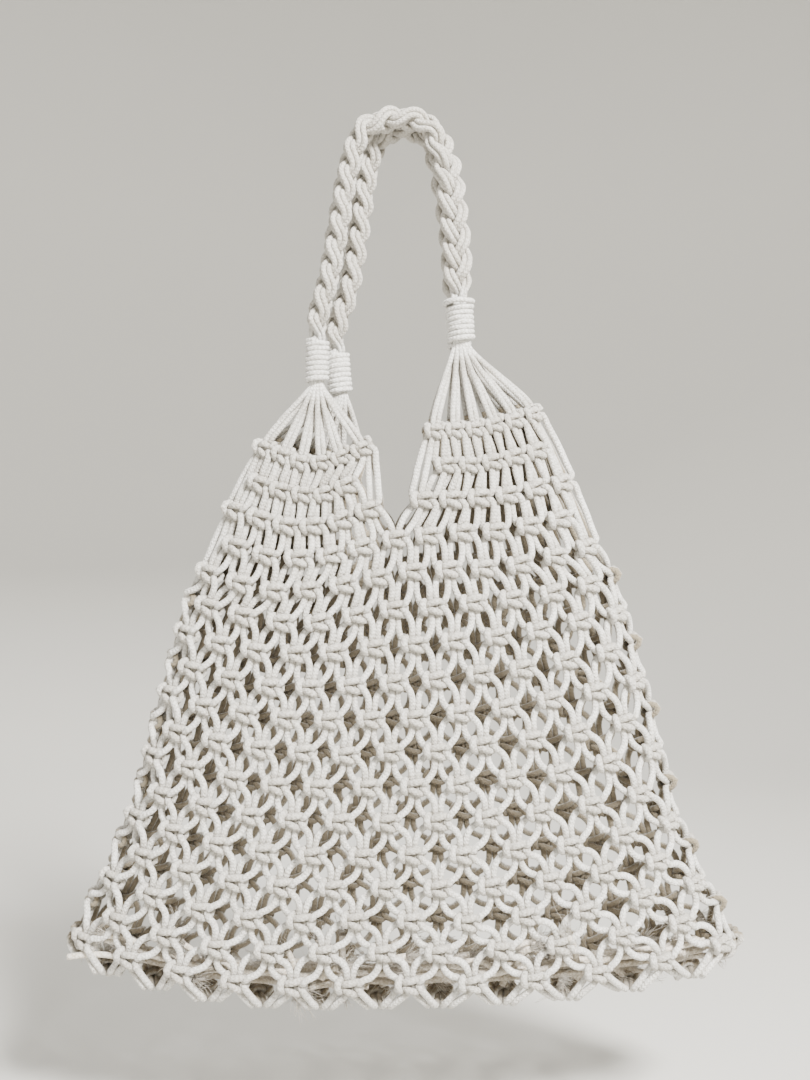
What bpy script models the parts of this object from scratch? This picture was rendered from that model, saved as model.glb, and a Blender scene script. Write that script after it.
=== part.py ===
"""A macrame tote bag of thick braided cotton cord, hanging from both handles.

X runs to the right, Y away from the viewer and Z up. The origin is the place where the handles hang: the
underside of the two plaits at their highest point, half way between them.
"""

import math

import bmesh
import bpy
import numpy as np
from mathutils import Vector

# Driving dimensions, in metres
CORD = 0.004  # thickness of the cord
CLEARANCE = 0.0003  # gap between pieces that touch on the real bag
BAG_WIDTH = 0.388  # from corner to corner along the bottom
BAG_DEPTH = 0.062  # from the front of the net to its back, near the bottom
NET_DROP = 0.170  # from the hanging point down to the highest knot of the top row
NET_HEIGHT = 0.338  # from that knot down to the lowest knot of the last row
SEAM_DROP = 0.013  # how far the turned-under bottom reaches below the last row
SEAM_SKIRT = 0.003  # of that, the height that stays upright under each face
SEAM_WALL = 0.005  # thickness of the turned-under bottom
KNOT_WIDTH = 0.018  # of one cluster of knots in the net
KNOT_HEIGHT = 0.010
KNOT_WALL = 0.0085  # thickness of the net at a cluster of knots
MOUTH_NOTCH = 0.030  # width of the V between the lobes of one face, at its top
SIDE_SLIT = 0.0045  # from a lobe's outer edge to the plane between the faces, above the side knots
SIDE_GAP = 0.0034  # from the side knots of a face to that plane, which their slant takes up
HANDLE_DROP = 0.126  # from the hanging point down to the lower end of the front plait on the left
HANDLE_SPREAD = 0.050  # from the middle out to that end
STRAND_RADIUS = 0.0040  # of one strand of a plait
PLAIT_SWING = 0.0048  # how far a strand swings to each side of the plait's middle
PLAIT_LIFT = 0.0018  # how far a strand rises and dips as it crosses
PLAIT_PERIOD = 0.045  # length of plait in which a strand comes back to the same side
WRAP_HEIGHT = 0.028
WRAP_CORD = 0.0034  # the wrap's cord is pulled thinner
CORE_RADIUS = 0.0053  # of the cords inside a wrap
CORE_TAPER = 0.012  # length in which a plait draws in to its core
COLLAR_HEIGHT = 0.004  # of the gathered cords just under a wrap
ENDS_RADIUS = 0.0065  # of the roll of frayed ends inside the bottom

# Counts
ROWS = 17  # rows of square knots, the scale that NET_SHAPE uses
CLUSTER_ROWS = 9  # rows of knot clusters in the solid, every second row of knots
CLUSTERS = 8  # clusters across one face in a full row, half of them on each lobe
PAIRS = 6  # pairs of cords in a fan
WRAP_TURNS = 8
ROUND_SIDES = 10
PLAIT_SIDES = 8
PAIR_SIDES = 6
SEAM_FACETS = 8
ENDS_SIDES = 8
ENDS_MARGIN = 2  # corners of the net's lower edge that the frayed ends stay clear of, at each end
PLAIT_SAMPLES = 9  # sections in one period of a plait
FAN_STEPS = 3
SEAT_SAMPLES = 4  # places read on each side of a seat's middle
SECTION_SAMPLES = 64  # steps in which the length of a level cut is measured

# Shares
FRONT_SHARE = 0.58  # of the depth, in front of the hanging plane
SECTION_POWER = 2.6  # of the superellipse that a level cut through the bag follows
LINK_THINNING = 0.6  # thickness of the cords between clusters, as a share of KNOT_WALL
LINK_NARROWING = 0.82  # their width half way, as a share of the width at a cluster
LARGEST_CLUSTER = 0.84  # of the distance to the next cluster, where clusters crowd
NOTCH_ROW = 4.0  # the row of the knot that joins the lobes of a face
SLIT_ROW = 6.4  # the row of the knot that joins the two faces at a side
TUFT_NECK = 0.72  # size of the roll between two tufts
TUFT_RISE = 1.25  # how much higher than wide a tuft stands
WRAP_GROOVE = 0.28  # of the wrap's cord, the depth between two turns
FAN_STIFFNESS = 0.5  # how long a pair keeps the way it starts and ends in, as a share of its length
PAIR_START = 0.5  # width of a pair in the collar, as a share of its full width
NEIGHBOUR_STEP = 0.02  # of a face's width, how far off the net's slant at a cluster is read
NEIGHBOUR_ROWS = 0.5  # rows, how far above and below a cluster the net's fall is read
TUFT_SIDE = 0.1  # sine of the angle above which a corner belongs to the upper side of a tuft
MERGE_DISTANCE = 0.00001  # metres, for the closing seam of a turned piece
SHARP_ANGLE = 50  # degrees between faces that are shaded as an edge
COTTON_ROUGHNESS = 0.9

# The hanging net. Row: knot row, counted from the top. Left, right: outline, as shares of half BAG_WIDTH.
# Drop: depth below the highest knot at five places from left to right, as shares of NET_HEIGHT.
# Depth: front to back, as a share of BAG_DEPTH.
NET_SHAPE = (
    # row, left, right, drop 0/4, drop 1/4, drop 2/4, drop 3/4, drop 4/4, depth
    (1, 0.45, 0.44, 0.057, 0.092, 0.043, 0.032, 0.000, 0.46),
    (5, 0.62, 0.62, 0.275, 0.317, 0.285, 0.270, 0.233, 0.68),
    (9, 0.73, 0.75, 0.494, 0.534, 0.534, 0.508, 0.470, 0.82),
    (13, 0.83, 0.86, 0.708, 0.763, 0.769, 0.755, 0.716, 0.95),
    (17, 1.00, 1.03, 0.925, 0.985, 0.990, 0.975, 0.930, 1.00),
)

# Width of the V between the lobes by row, as a share of MOUTH_NOTCH
NOTCH_SHAPE = (
    # row, width
    (1, 1.00),
    (2, 0.98),
    (3, 0.50),
    (NOTCH_ROW, 0.00),
)

# The four ends of the plaits. Across: as a share of HANDLE_SPREAD. Drop: as a share of HANDLE_DROP.
# Lean: of the wrap, in degrees, its foot to the right.
LEGS = (
    # piece, face, lobe, across, drop, lean
    ("front_left", -1, 0, -0.990, 0.995, -1.0),
    ("front_right", -1, 1, 0.710, 0.803, 3.0),
    ("back_left", 1, 0, -0.780, 1.035, 5.0),
    ("back_right", 1, 1, 0.670, 0.830, 3.0),
)

# The middle line of each plait between its ends, from left to right. Across: as a share of HANDLE_SPREAD.
# Rise: above the underside of the plait at its top, as a share of HANDLE_DROP, from the middle of the plait.
# Turn: of the plait's flat side, in degrees, 0 where it faces the middle of the loop.
PLAIT_SHAPE = {
    "front": (
        # across, rise, turn
        (-0.860, -0.760, 10.0),
        (-0.740, -0.500, 15.0),
        (-0.625, -0.250, 10.0),
        (-0.450, -0.062, 0.0),
        (-0.200, -0.008, 0.0),
        (0.100, 0.000, 0.0),
        (0.360, -0.040, 15.0),
        (0.540, -0.200, 50.0),
        (0.635, -0.420, 80.0),
        (0.690, -0.640, 88.0),
    ),
    "back": (
        (-0.640, -0.780, 20.0),
        (-0.520, -0.500, 20.0),
        (-0.420, -0.250, 10.0),
        (-0.290, -0.075, 0.0),
        (-0.100, -0.008, 0.0),
        (0.120, 0.000, 0.0),
        (0.350, -0.060, 15.0),
        (0.500, -0.210, 50.0),
        (0.590, -0.420, 80.0),
        (0.640, -0.650, 88.0),
    ),
}

# What follows from them
SEAM_GAP = 2 * CLEARANCE  # the facets on both sides of it differ by about one clearance
FAN_GAP = 2 * CLEARANCE
PLAIT_WIDTH = 2 * (PLAIT_SWING + STRAND_RADIUS)
PLAIT_THICKNESS = 2 * (PLAIT_LIFT + STRAND_RADIUS)
WRAP_RADIUS = CORE_RADIUS + CLEARANCE + WRAP_CORD
LEG_OFFSET = max(PLAIT_WIDTH / 2, WRAP_RADIUS) + CLEARANCE

COTTON = (0.80, 0.77, 0.70)
FRAYED_COTTON = (0.72, 0.65, 0.56)


def smooth(stations, values, at):
    """The smooth curve through values at the stations, read at one place."""
    last = len(stations) - 2
    span = next((k for k in range(last) if at < stations[k + 1]), last)
    low, high = stations[span], stations[span + 1]
    step = high - low

    def slope(k):
        before, after = max(k - 1, 0), min(k + 1, len(stations) - 1)
        return (values[after] - values[before]) / (stations[after] - stations[before])

    t = (at - low) / step
    return (
        values[span] * (2 * t**3 - 3 * t**2 + 1)
        + slope(span) * step * (t**3 - 2 * t**2 + t)
        + values[span + 1] * (3 * t**2 - 2 * t**3)
        + slope(span + 1) * step * (t**3 - t**2)
    )


def net_value(row, column):
    """One column of NET_SHAPE at a row."""
    return smooth([line[0] for line in NET_SHAPE], [line[column] for line in NET_SHAPE], row)


def level_cut(half_width, half_depth, along):
    """A place on the half superellipse of one face, along from 0 at the left to 1 at the right."""
    angles = np.linspace(math.pi, 0, SECTION_SAMPLES + 1)
    across = np.sign(np.cos(angles)) * np.abs(np.cos(angles)) ** (2 / SECTION_POWER)
    outward = np.abs(np.sin(angles)) ** (2 / SECTION_POWER)
    steps = np.hypot(np.diff(across * half_width), np.diff(outward * half_depth))
    length = np.concatenate([[0.0], np.cumsum(steps)])
    place = along * length[-1]
    return float(np.interp(place, length, across)), float(np.interp(place, length, outward))


def net_point(face, row, along):
    """A point on the middle of the net. Face is -1 in front and 1 at the back, along runs left to right."""
    left, right = -net_value(row, 1) * BAG_WIDTH / 2, net_value(row, 2) * BAG_WIDTH / 2
    depth = net_value(row, 8) * BAG_DEPTH
    half_depth = depth * (FRONT_SHARE if face < 0 else 1 - FRONT_SHARE)
    across, outward = level_cut((right - left) / 2, half_depth, along)
    drops = [net_value(row, column) for column in range(3, 8)]
    drop = smooth([0, 0.25, 0.5, 0.75, 1], drops, along)
    return Vector(
        (
            (left + right) / 2 + across * (right - left) / 2,
            face * outward * half_depth,
            -NET_DROP - drop * NET_HEIGHT,
        )
    )


def notch_width(row):
    """Width of the V between the lobes at a row."""
    if row >= NOTCH_ROW:
        return 0.0
    return MOUTH_NOTCH * float(
        np.interp(row, [line[0] for line in NOTCH_SHAPE], [line[1] for line in NOTCH_SHAPE])
    )


def net_width(row):
    """Width of the flat outline at a row."""
    return (net_value(row, 1) + net_value(row, 2)) * BAG_WIDTH / 2


def lobe_place(row, along):
    """Where a share of the face goes when the V and the slits at the sides draw its lobes in."""
    side = SIDE_SLIT if row < SLIT_ROW else SIDE_GAP
    outer = side / net_width(row)
    drawn = 1 - 2 * outer - notch_width(row) / net_width(row)
    return outer + along * drawn if along < 0.5 else 1 - outer - (1 - along) * drawn


def collection_named(name):
    """A new collection in the scene."""
    made = bpy.data.collections.new(name)
    bpy.context.scene.collection.children.link(made)
    return made


def finish_of(name, colour, roughness):
    """A plain material for one sub-part."""
    made = bpy.data.materials.new(name)
    made.use_nodes = True
    shader = made.node_tree.nodes["Principled BSDF"]
    shader.inputs["Base Color"].default_value = (*colour, 1.0)
    shader.inputs["Roughness"].default_value = roughness
    shader.inputs["Metallic"].default_value = 0.0
    return made


def object_of(mesh, name, where, colour=COTTON):
    """Turns a bmesh into an object of its own with its own material."""
    bmesh.ops.recalc_face_normals(mesh, faces=mesh.faces)
    data = bpy.data.meshes.new(name)
    mesh.to_mesh(data)
    mesh.free()
    data.shade_smooth()
    data.set_sharp_from_angle(angle=math.radians(SHARP_ANGLE))
    made = bpy.data.objects.new(name, data)
    made.data.materials.append(finish_of(name + "_cotton", colour, COTTON_ROUGHNESS))
    where.objects.link(made)
    return made


def loft(mesh, rings):
    """Skins a row of rings of equal size and closes both ends."""
    made = [[mesh.verts.new(point) for point in ring] for ring in rings]
    for lower, upper in zip(made, made[1:]):
        for k in range(len(lower)):
            after = (k + 1) % len(lower)
            mesh.faces.new((lower[k], lower[after], upper[after], upper[k]))
    mesh.faces.new(made[0])
    mesh.faces.new(made[-1])


def ring(centre, wide, high, sides, reach):
    """Points around a centre. Reach gives how far the outline stands off in a direction."""
    points = []
    for k in range(sides):
        angle = 2 * math.pi * k / sides
        points.append(centre + (wide * math.cos(angle) + high * math.sin(angle)) * reach(angle))
    return points


class Cluster:
    """A flat patch of knots in the net, with the corners that the cords between patches start from."""

    def __init__(self, mesh, face, row, along, pitch, halves=(-1, 0, 1)):
        here = net_point(face, row, along)
        before = net_point(face, row, max(along - NEIGHBOUR_STEP, 0.0))
        after = net_point(face, row, min(along + NEIGHBOUR_STEP, 1.0))
        above = net_point(face, row - NEIGHBOUR_ROWS, along)
        below = net_point(face, min(row + NEIGHBOUR_ROWS, ROWS), along)
        fall = below - above
        self.right = (after - before).normalized()
        self.down = (fall - fall.project(self.right)).normalized()
        half = min(KNOT_WIDTH, pitch * LARGEST_CLUSTER) / 2
        self.top, self.bottom = {}, {}
        for side in halves:
            corner = here + self.right * half * side
            self.top[side] = mesh.verts.new(corner - self.down * KNOT_HEIGHT / 2)
            self.bottom[side] = mesh.verts.new(corner + self.down * KNOT_HEIGHT / 2)
        for left, right in ((-1, 0), (0, 1)):
            if left in halves and right in halves:
                mesh.faces.new(
                    (self.top[left], self.bottom[left], self.bottom[right], self.top[right])
                )


def link(mesh, upper, lower, middles):
    """The cords from one pair of corners down to another, narrowed half way."""
    centre = sum((v.co for v in (*upper, *lower)), Vector()) / 4
    across = (upper[1].co - upper[0].co + lower[1].co - lower[0].co) / 4 * LINK_NARROWING
    middle = (mesh.verts.new(centre - across), mesh.verts.new(centre + across))
    mesh.faces.new((upper[0], middle[0], middle[1], upper[1]))
    mesh.faces.new((middle[0], lower[0], lower[1], middle[1]))
    middles.extend(middle)


def cluster_row(level):
    """The knot row of a row of clusters."""
    return 1 + level * (ROWS - 1) / (CLUSTER_ROWS - 1)


def net_face(where, name, face):
    """One face of the net: staggered clusters of knots joined by bundles of cords. Returns its edges."""
    mesh = bmesh.new()
    clusters, middles = {}, []
    middle_column = CLUSTERS // 2
    for level in range(CLUSTER_ROWS):
        row = cluster_row(level)
        pitch = (net_width(row) - notch_width(row)) / CLUSTERS
        if level % 2 == 0:
            for column in range(CLUSTERS):
                along = lobe_place(row, (column + 0.5) / CLUSTERS)
                clusters[level, column] = Cluster(mesh, face, row, along, pitch)
            continue
        for column in range(1, CLUSTERS):
            here = max(row, NOTCH_ROW) if column == middle_column else row
            along = lobe_place(here, column / CLUSTERS)
            clusters[level, column] = Cluster(mesh, face, here, along, pitch)
        if row + 1 > SLIT_ROW:
            here = SLIT_ROW if row < SLIT_ROW + 1 else row
            for column, halves in ((0, (0, 1)), (CLUSTERS, (-1, 0))):
                along = lobe_place(here, column / CLUSTERS)
                clusters[level, column] = Cluster(mesh, face, here, along, pitch, halves)
    for (level, column), knot in list(clusters.items()):
        shift = level % 2
        left = clusters.get((level + 1, column - shift))
        right = clusters.get((level + 1, column + 1 - shift))
        if left and -1 in knot.bottom and 1 in left.top:
            link(mesh, (knot.bottom[-1], knot.bottom[0]), (left.top[0], left.top[1]), middles)
        if right and 1 in knot.bottom and -1 in right.top:
            link(mesh, (knot.bottom[0], knot.bottom[1]), (right.top[-1], right.top[0]), middles)
    for level in (0, CLUSTER_ROWS - 1):
        for column in range(CLUSTERS - 1):
            if level == 0 and column + 1 == middle_column:
                continue
            here, after = clusters[level, column], clusters[level, column + 1]
            mesh.faces.new((here.top[1], here.bottom[1], after.bottom[-1], after.top[-1]))
    for column, side in ((0, -1), (CLUSTERS - 1, 1)):
        upper, lower = clusters[0, column], clusters[2, column]
        pair = (-1, 0) if side < 0 else (0, 1)
        link(
            mesh,
            tuple(upper.bottom[k] for k in pair),
            tuple(lower.top[k] for k in pair),
            middles,
        )
    sides = (-1, 0, 1)
    edges = {
        lobe: [
            clusters[0, column].top[side].co.copy()
            for column in range(lobe * middle_column, (lobe + 1) * middle_column)
            for side in sides
        ]
        for lobe in (0, 1)
    }
    last = CLUSTER_ROWS - 1
    edges["bottom"] = [
        clusters[last, column].bottom[side].co.copy() for column in range(CLUSTERS) for side in sides
    ]
    mesh.verts.index_update()
    thin = [v.index for v in middles]
    made = object_of(mesh, name, where)
    group = made.vertex_groups.new(name="thickness")
    group.add(range(len(made.data.vertices)), 1.0, "REPLACE")
    group.add(thin, LINK_THINNING, "REPLACE")
    wall = made.modifiers.new("wall", "SOLIDIFY")
    wall.thickness = KNOT_WALL
    wall.offset = 0.0
    wall.vertex_group = group.name
    return edges


def seam_point(front, back, turn):
    """A point on the turned-under bottom: an upright skirt under each net, and a curve between the two.

    Turn runs from 0 at the lower edge of the front net to 1 at that of the back net.
    """
    skirt = 1 / SEAM_FACETS
    curve = min(max((turn - skirt) / (1 - 2 * skirt), 0.0), 1.0)
    angle = math.pi * curve
    point = front.lerp(back, (1 - math.cos(angle)) / 2)
    depth = SEAM_SKIRT * min(turn / skirt, (1 - turn) / skirt, 1.0)
    depth += (SEAM_DROP - SEAM_SKIRT) * math.sin(angle)
    return point - Vector((0, 0, SEAM_GAP + depth))


def bottom_seam(where, front, back):
    """The bottom: a shell that runs from the lower edge of the front net to that of the back net."""
    mesh = bmesh.new()
    stations = len(front) - 1
    bmesh.ops.create_grid(mesh, x_segments=stations, y_segments=SEAM_FACETS, size=0.5)
    for vertex in mesh.verts:
        station = round((vertex.co.x + 0.5) * stations)
        vertex.co = seam_point(front[station], back[station], vertex.co.y + 0.5)
    made = object_of(mesh, "bottom_seam", where)
    wall = made.modifiers.new("wall", "SOLIDIFY")
    wall.thickness = SEAM_WALL
    wall.offset = 0.0


def cord_ends(where, front, back):
    """The frayed ends inside: a roll along the bottom that swells into a tuft at each second station."""
    rings = []
    for station in range(ENDS_MARGIN, len(front) - ENDS_MARGIN):
        swell = ENDS_RADIUS * (1.0 if station % 2 else TUFT_NECK)
        floor = seam_point(front[station], back[station], 0.5)
        centre = floor + Vector((0, 0, SEAM_WALL / 2 + SEAM_GAP + swell))

        def reach(angle, swell=swell):
            return swell * (TUFT_RISE if math.sin(angle) > TUFT_SIDE else 1)

        rings.append(ring(centre, Vector((0, 1, 0)), Vector((0, 0, 1)), ENDS_SIDES, reach))
    mesh = bmesh.new()
    loft(mesh, rings)
    object_of(mesh, "cord_ends", where, FRAYED_COTTON)


def leg_end(leg):
    """Where a plait enters its wrap, and the way down through it."""
    _, face, _, across, drop, lean = leg
    top = Vector((across * HANDLE_SPREAD, face * LEG_OFFSET, -drop * HANDLE_DROP))
    lean = math.radians(lean)
    return top, Vector((math.sin(lean), 0, -math.cos(lean)))


def wrap(where, leg):
    """A gathering wrap: a bored sleeve with one ridge for each turn of cord."""
    bore = (CORE_RADIUS + CLEARANCE) / math.cos(math.pi / ROUND_SIDES)
    turn_height = WRAP_HEIGHT / WRAP_TURNS
    outline = []
    for turn in range(WRAP_TURNS):
        top = WRAP_HEIGHT / 2 - turn * turn_height
        outline.append((WRAP_RADIUS - WRAP_CORD * WRAP_GROOVE, top))
        outline.append((WRAP_RADIUS, top - turn_height / 2))
    outline.append((WRAP_RADIUS - WRAP_CORD * WRAP_GROOVE, -WRAP_HEIGHT / 2))
    outline.append((bore, -WRAP_HEIGHT / 2))
    outline.append((bore, WRAP_HEIGHT / 2))
    mesh = bmesh.new()
    corners = [mesh.verts.new((radius, 0, height)) for radius, height in outline]
    for k, corner in enumerate(corners):
        mesh.edges.new((corner, corners[(k + 1) % len(corners)]))
    made = object_of(mesh, "wrap_" + leg[0], where)
    screw = made.modifiers.new("turned", "SCREW")
    screw.steps = screw.render_steps = ROUND_SIDES
    screw.use_merge_vertices = True
    screw.merge_threshold = MERGE_DISTANCE
    top, down = leg_end(leg)
    made.location = top + down * WRAP_HEIGHT / 2
    made.rotation_euler = (0, -math.radians(leg[5]), 0)


def along_path(points, step):
    """Rows of values read at equal steps along the smooth line through the points."""
    stations = [0.0]
    for before, after in zip(points, points[1:]):
        stations.append(stations[-1] + math.dist(before[:3], after[:3]))
    count = max(2, round(stations[-1] / step))
    columns = list(zip(*points))
    return [
        [smooth(stations, column, stations[-1] * k / count) for column in columns]
        for k in range(count + 1)
    ]


def plait_reach(distance, share):
    """Outline of a plait at a distance along it: its round core at share 0, its full form at share 1."""

    def reach(angle):
        furthest = 0.0
        for strand in range(3):
            phase = 2 * math.pi * (distance / PLAIT_PERIOD + strand / 3)
            out = PLAIT_SWING * math.sin(phase) * math.cos(angle)
            out += PLAIT_LIFT * math.sin(2 * phase) * math.sin(angle)
            furthest = max(furthest, out + STRAND_RADIUS)
        return CORE_RADIUS + share * (furthest - CORE_RADIUS)

    return reach


def plait(where, name, legs, face):
    """A handle: a plait from wrap to wrap over the hanging place, with its core inside both wraps."""
    (left, left_down), (right, right_down) = (leg_end(leg) for leg in legs)
    line = PLAIT_SHAPE[name]
    points = [(*left, line[0][2]), (*(left - left_down * CORE_TAPER), line[0][2])]
    for across, rise, turn in line:
        height = PLAIT_THICKNESS / 2 + rise * HANDLE_DROP
        points.append((across * HANDLE_SPREAD, face * LEG_OFFSET, height, turn))
    points.append((*(right - right_down * CORE_TAPER), line[-1][2]))
    points.append((*right, line[-1][2]))
    rows = along_path(points, PLAIT_PERIOD / PLAIT_SAMPLES)
    step = math.dist(rows[0][:3], rows[1][:3])
    centres = [Vector(row[:3]) for row in rows]
    rings = [core_ring(left + left_down * WRAP_HEIGHT, left_down, line[0][2])]
    for k, centre in enumerate(centres):
        ahead = centres[min(k + 1, len(centres) - 1)] - centres[max(k - 1, 0)]
        if k == 0:
            ahead = -left_down
        if k == len(centres) - 1:
            ahead = right_down
        wide, thick = flat_axes(ahead.normalized(), rows[k][3])
        from_end = min(k, len(centres) - 1 - k) * step
        share = min(1.0, from_end / CORE_TAPER)
        share = share * share * (3 - 2 * share)
        rings.append(ring(centre, wide, thick, PLAIT_SIDES, plait_reach(k * step, share)))
    rings.append(core_ring(right + right_down * WRAP_HEIGHT, -right_down, line[-1][2]))
    mesh = bmesh.new()
    loft(mesh, rings)
    object_of(mesh, "handle_" + name, where)


def flat_axes(ahead, turn):
    """The wide and the thick axis of a plait that runs ahead, with its flat side turned by degrees."""
    wide = Vector((0, 1, 0))
    wide = (wide - wide.project(ahead)).normalized()
    thick = ahead.cross(wide)
    angle = math.radians(turn)
    return (
        wide * math.cos(angle) + thick * math.sin(angle),
        thick * math.cos(angle) - wide * math.sin(angle),
    )


def core_ring(centre, down, turn):
    """The round end of a plait at the foot of a wrap."""
    wide, thick = flat_axes(-down, turn)
    return ring(centre, wide, thick, PLAIT_SIDES, lambda angle: CORE_RADIUS)


def edge_place(edge, share):
    """A point at a share of the length of an edge."""
    lengths = [0.0]
    for before, after in zip(edge, edge[1:]):
        lengths.append(lengths[-1] + (after - before).length)
    place = min(max(share, 0.0), 1.0) * lengths[-1]
    span = next(k for k in range(len(edge) - 1) if place <= lengths[k + 1] or k == len(edge) - 2)
    part_way = (place - lengths[span]) / (lengths[span + 1] - lengths[span])
    return edge[span].lerp(edge[span + 1], part_way)


def seat_on_edge(edge, share, half_width):
    """Where a flat end of that width rests on an edge: its middle, the way along it and the way up."""
    length = sum((after - before).length for before, after in zip(edge, edge[1:]))
    reach = half_width / length
    touched = [edge_place(edge, share + reach * (k / SEAT_SAMPLES - 1)) for k in range(2 * SEAT_SAMPLES + 1)]
    level = (touched[-1] - touched[0]).normalized()
    rise = Vector((0, -1, 0)).cross(level).normalized()
    rise = rise if rise.z > 0 else -rise
    middle = edge_place(edge, share)
    highest = max((point - middle).dot(rise) for point in touched)
    return middle + rise * (highest + FAN_GAP), level, rise


def fan(where, guides, leg, edge):
    """The cords under a wrap: a collar from which six flat pairs spread to the top edge of a lobe."""
    top, down = leg_end(leg)
    foot = top + down * (WRAP_HEIGHT + CLEARANCE)
    pairs = bpy.data.collections.new("pairs_" + leg[0])
    guides.children.link(pairs)
    for k in range(PAIRS):
        spread = (k + 0.5) / PAIRS
        end, level, rise = seat_on_edge(edge, spread, CORD)
        side = (2 * spread - 1) * (CORE_RADIUS - CORD / 2)
        depth = (CORD / 4) * (1 if k % 2 else -1)
        start = foot + down * COLLAR_HEIGHT / 4 + Vector((side, depth, 0))
        reach = (end - start).length * FAN_STIFFNESS
        rings = []
        for step in range(FAN_STEPS + 1):
            t = step / FAN_STEPS
            centre = (
                start * (2 * t**3 - 3 * t**2 + 1)
                + down * reach * (t**3 - 2 * t**2 + t)
                + end * (3 * t**2 - 2 * t**3)
                - rise * reach * (t**3 - t**2)
            )
            ahead = (
                (end - start) * (6 * t - 6 * t**2)
                + down * reach * (3 * t**2 - 4 * t + 1)
                - rise * reach * (3 * t**2 - 2 * t)
            ).normalized()
            wide = (level - level.project(ahead)).normalized()
            size = CORD * (PAIR_START + (1 - PAIR_START) * min(1.0, 2 * t))
            rings.append(
                ring(centre, wide * size, ahead.cross(wide) * CORD / 2, PAIR_SIDES, lambda angle: 1)
            )
        mesh = bmesh.new()
        loft(mesh, rings)
        tube = object_of(mesh, f"pair_{leg[0]}_{k}", pairs)
        tube.hide_render = True
        tube.display_type = "WIRE"
    mesh = bmesh.new()
    bmesh.ops.create_cone(
        mesh,
        cap_ends=True,
        segments=ROUND_SIDES,
        radius1=CORE_RADIUS,
        radius2=CORE_RADIUS,
        depth=COLLAR_HEIGHT,
    )
    made = object_of(mesh, "fan_" + leg[0], where)
    made.location = foot + down * COLLAR_HEIGHT / 2
    made.rotation_euler = (0, -math.radians(leg[5]), 0)
    joined = made.modifiers.new("pairs", "BOOLEAN")
    joined.operation = "UNION"
    joined.operand_type = "COLLECTION"
    joined.collection = pairs
    joined.solver = "EXACT"


def main():
    """Builds the bag in an emptied scene."""
    for old in list(bpy.data.objects):
        bpy.data.objects.remove(old)
    bag = collection_named("macrame_tote_bag")
    guides = collection_named("guides")
    edges = {-1: net_face(bag, "net_front", -1), 1: net_face(bag, "net_back", 1)}
    bottom_seam(bag, edges[-1]["bottom"], edges[1]["bottom"])
    cord_ends(bag, edges[-1]["bottom"], edges[1]["bottom"])
    for leg in LEGS:
        wrap(bag, leg)
        fan(bag, guides, leg, edges[leg[1]][leg[2]])
    plait(bag, "front", LEGS[:2], -1)
    plait(bag, "back", LEGS[2:], 1)


main()
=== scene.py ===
"""Looks of a macrame tote bag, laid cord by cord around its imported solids.

The bag is knotted of one kind of braided cotton cord. Every cord is followed here through all of its square
knots: twelve cords come out of each gathering wrap, each pair of them takes a folded cord into the knot below
it, the knots then alternate from row to row, and under the last row the cords of both faces meet in knots
under the bottom. Where two cords would lie in one another, they are pushed apart before they get their
thickness. X runs to the right, Y away from the viewer and Z up, as in the solids.
"""

import math
import random
from collections import namedtuple

import bpy
import numpy as np
from bpy.props import FloatProperty, FloatVectorProperty, IntProperty, PointerProperty
from mathutils import Matrix, Vector, kdtree


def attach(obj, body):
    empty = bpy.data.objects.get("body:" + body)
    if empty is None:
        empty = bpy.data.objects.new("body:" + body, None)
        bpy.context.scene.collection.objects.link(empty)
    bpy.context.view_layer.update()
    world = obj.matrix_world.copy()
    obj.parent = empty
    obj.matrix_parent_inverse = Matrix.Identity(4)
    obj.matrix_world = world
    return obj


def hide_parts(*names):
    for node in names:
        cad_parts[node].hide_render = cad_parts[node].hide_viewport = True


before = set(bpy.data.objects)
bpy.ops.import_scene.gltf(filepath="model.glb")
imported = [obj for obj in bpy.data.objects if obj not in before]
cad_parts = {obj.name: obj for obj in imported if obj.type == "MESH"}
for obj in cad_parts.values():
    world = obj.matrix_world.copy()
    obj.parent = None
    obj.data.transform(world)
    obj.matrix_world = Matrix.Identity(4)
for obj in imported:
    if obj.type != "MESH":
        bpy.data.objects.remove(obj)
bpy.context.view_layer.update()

bl_info = {
    "name": "Macrame tote bag",
    "version": (1, 0, 0),
    "blender": (4, 5, 0),
    "location": "3D View > Sidebar > Macrame bag",
    "description": "Lays the cords of a knotted cotton bag around its solids",
    "category": "Object",
}

# Rows and columns of the net
ROWS = 17
COLUMNS = 24  # knots in one full row, all the way round
HALF_ROUND = 12
FRONT_NOTCH = 6  # the column between the two front lobes
BACK_NOTCH = 18
LOBE_COLUMNS = 6
STRIP_COLUMNS = 2  # columns in one piece of the net
SECTION_SAMPLES = 64

# Shares that the solids use too
FRONT_SHARE = 0.58
SECTION_POWER = 2.6
NOTCH_ROW = 4
SIDE_ROW = 6

# The hanging net. Left, right: outline, as shares of half the bag's width. Drop: below the highest knot, at
# five places from left to right, as shares of the net's height. Depth: as a share of the bag's depth.
NET_SHAPE = (
    # row, left, right, drop 0/4, drop 1/4, drop 2/4, drop 3/4, drop 4/4, depth
    (1, 0.45, 0.44, 0.057, 0.092, 0.043, 0.032, 0.000, 0.46),
    (5, 0.62, 0.62, 0.275, 0.317, 0.285, 0.270, 0.233, 0.68),
    (9, 0.73, 0.75, 0.494, 0.534, 0.534, 0.508, 0.470, 0.82),
    (13, 0.83, 0.86, 0.708, 0.763, 0.769, 0.755, 0.716, 0.95),
    (17, 1.00, 1.03, 0.925, 0.985, 0.990, 0.975, 0.930, 1.00),
)
DROP_PLACES = (0.0, 0.25, 0.5, 0.75, 1.0)
DROP_COLUMNS = (3, 4, 5, 6, 7)
DEPTH_COLUMN = 8

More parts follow.
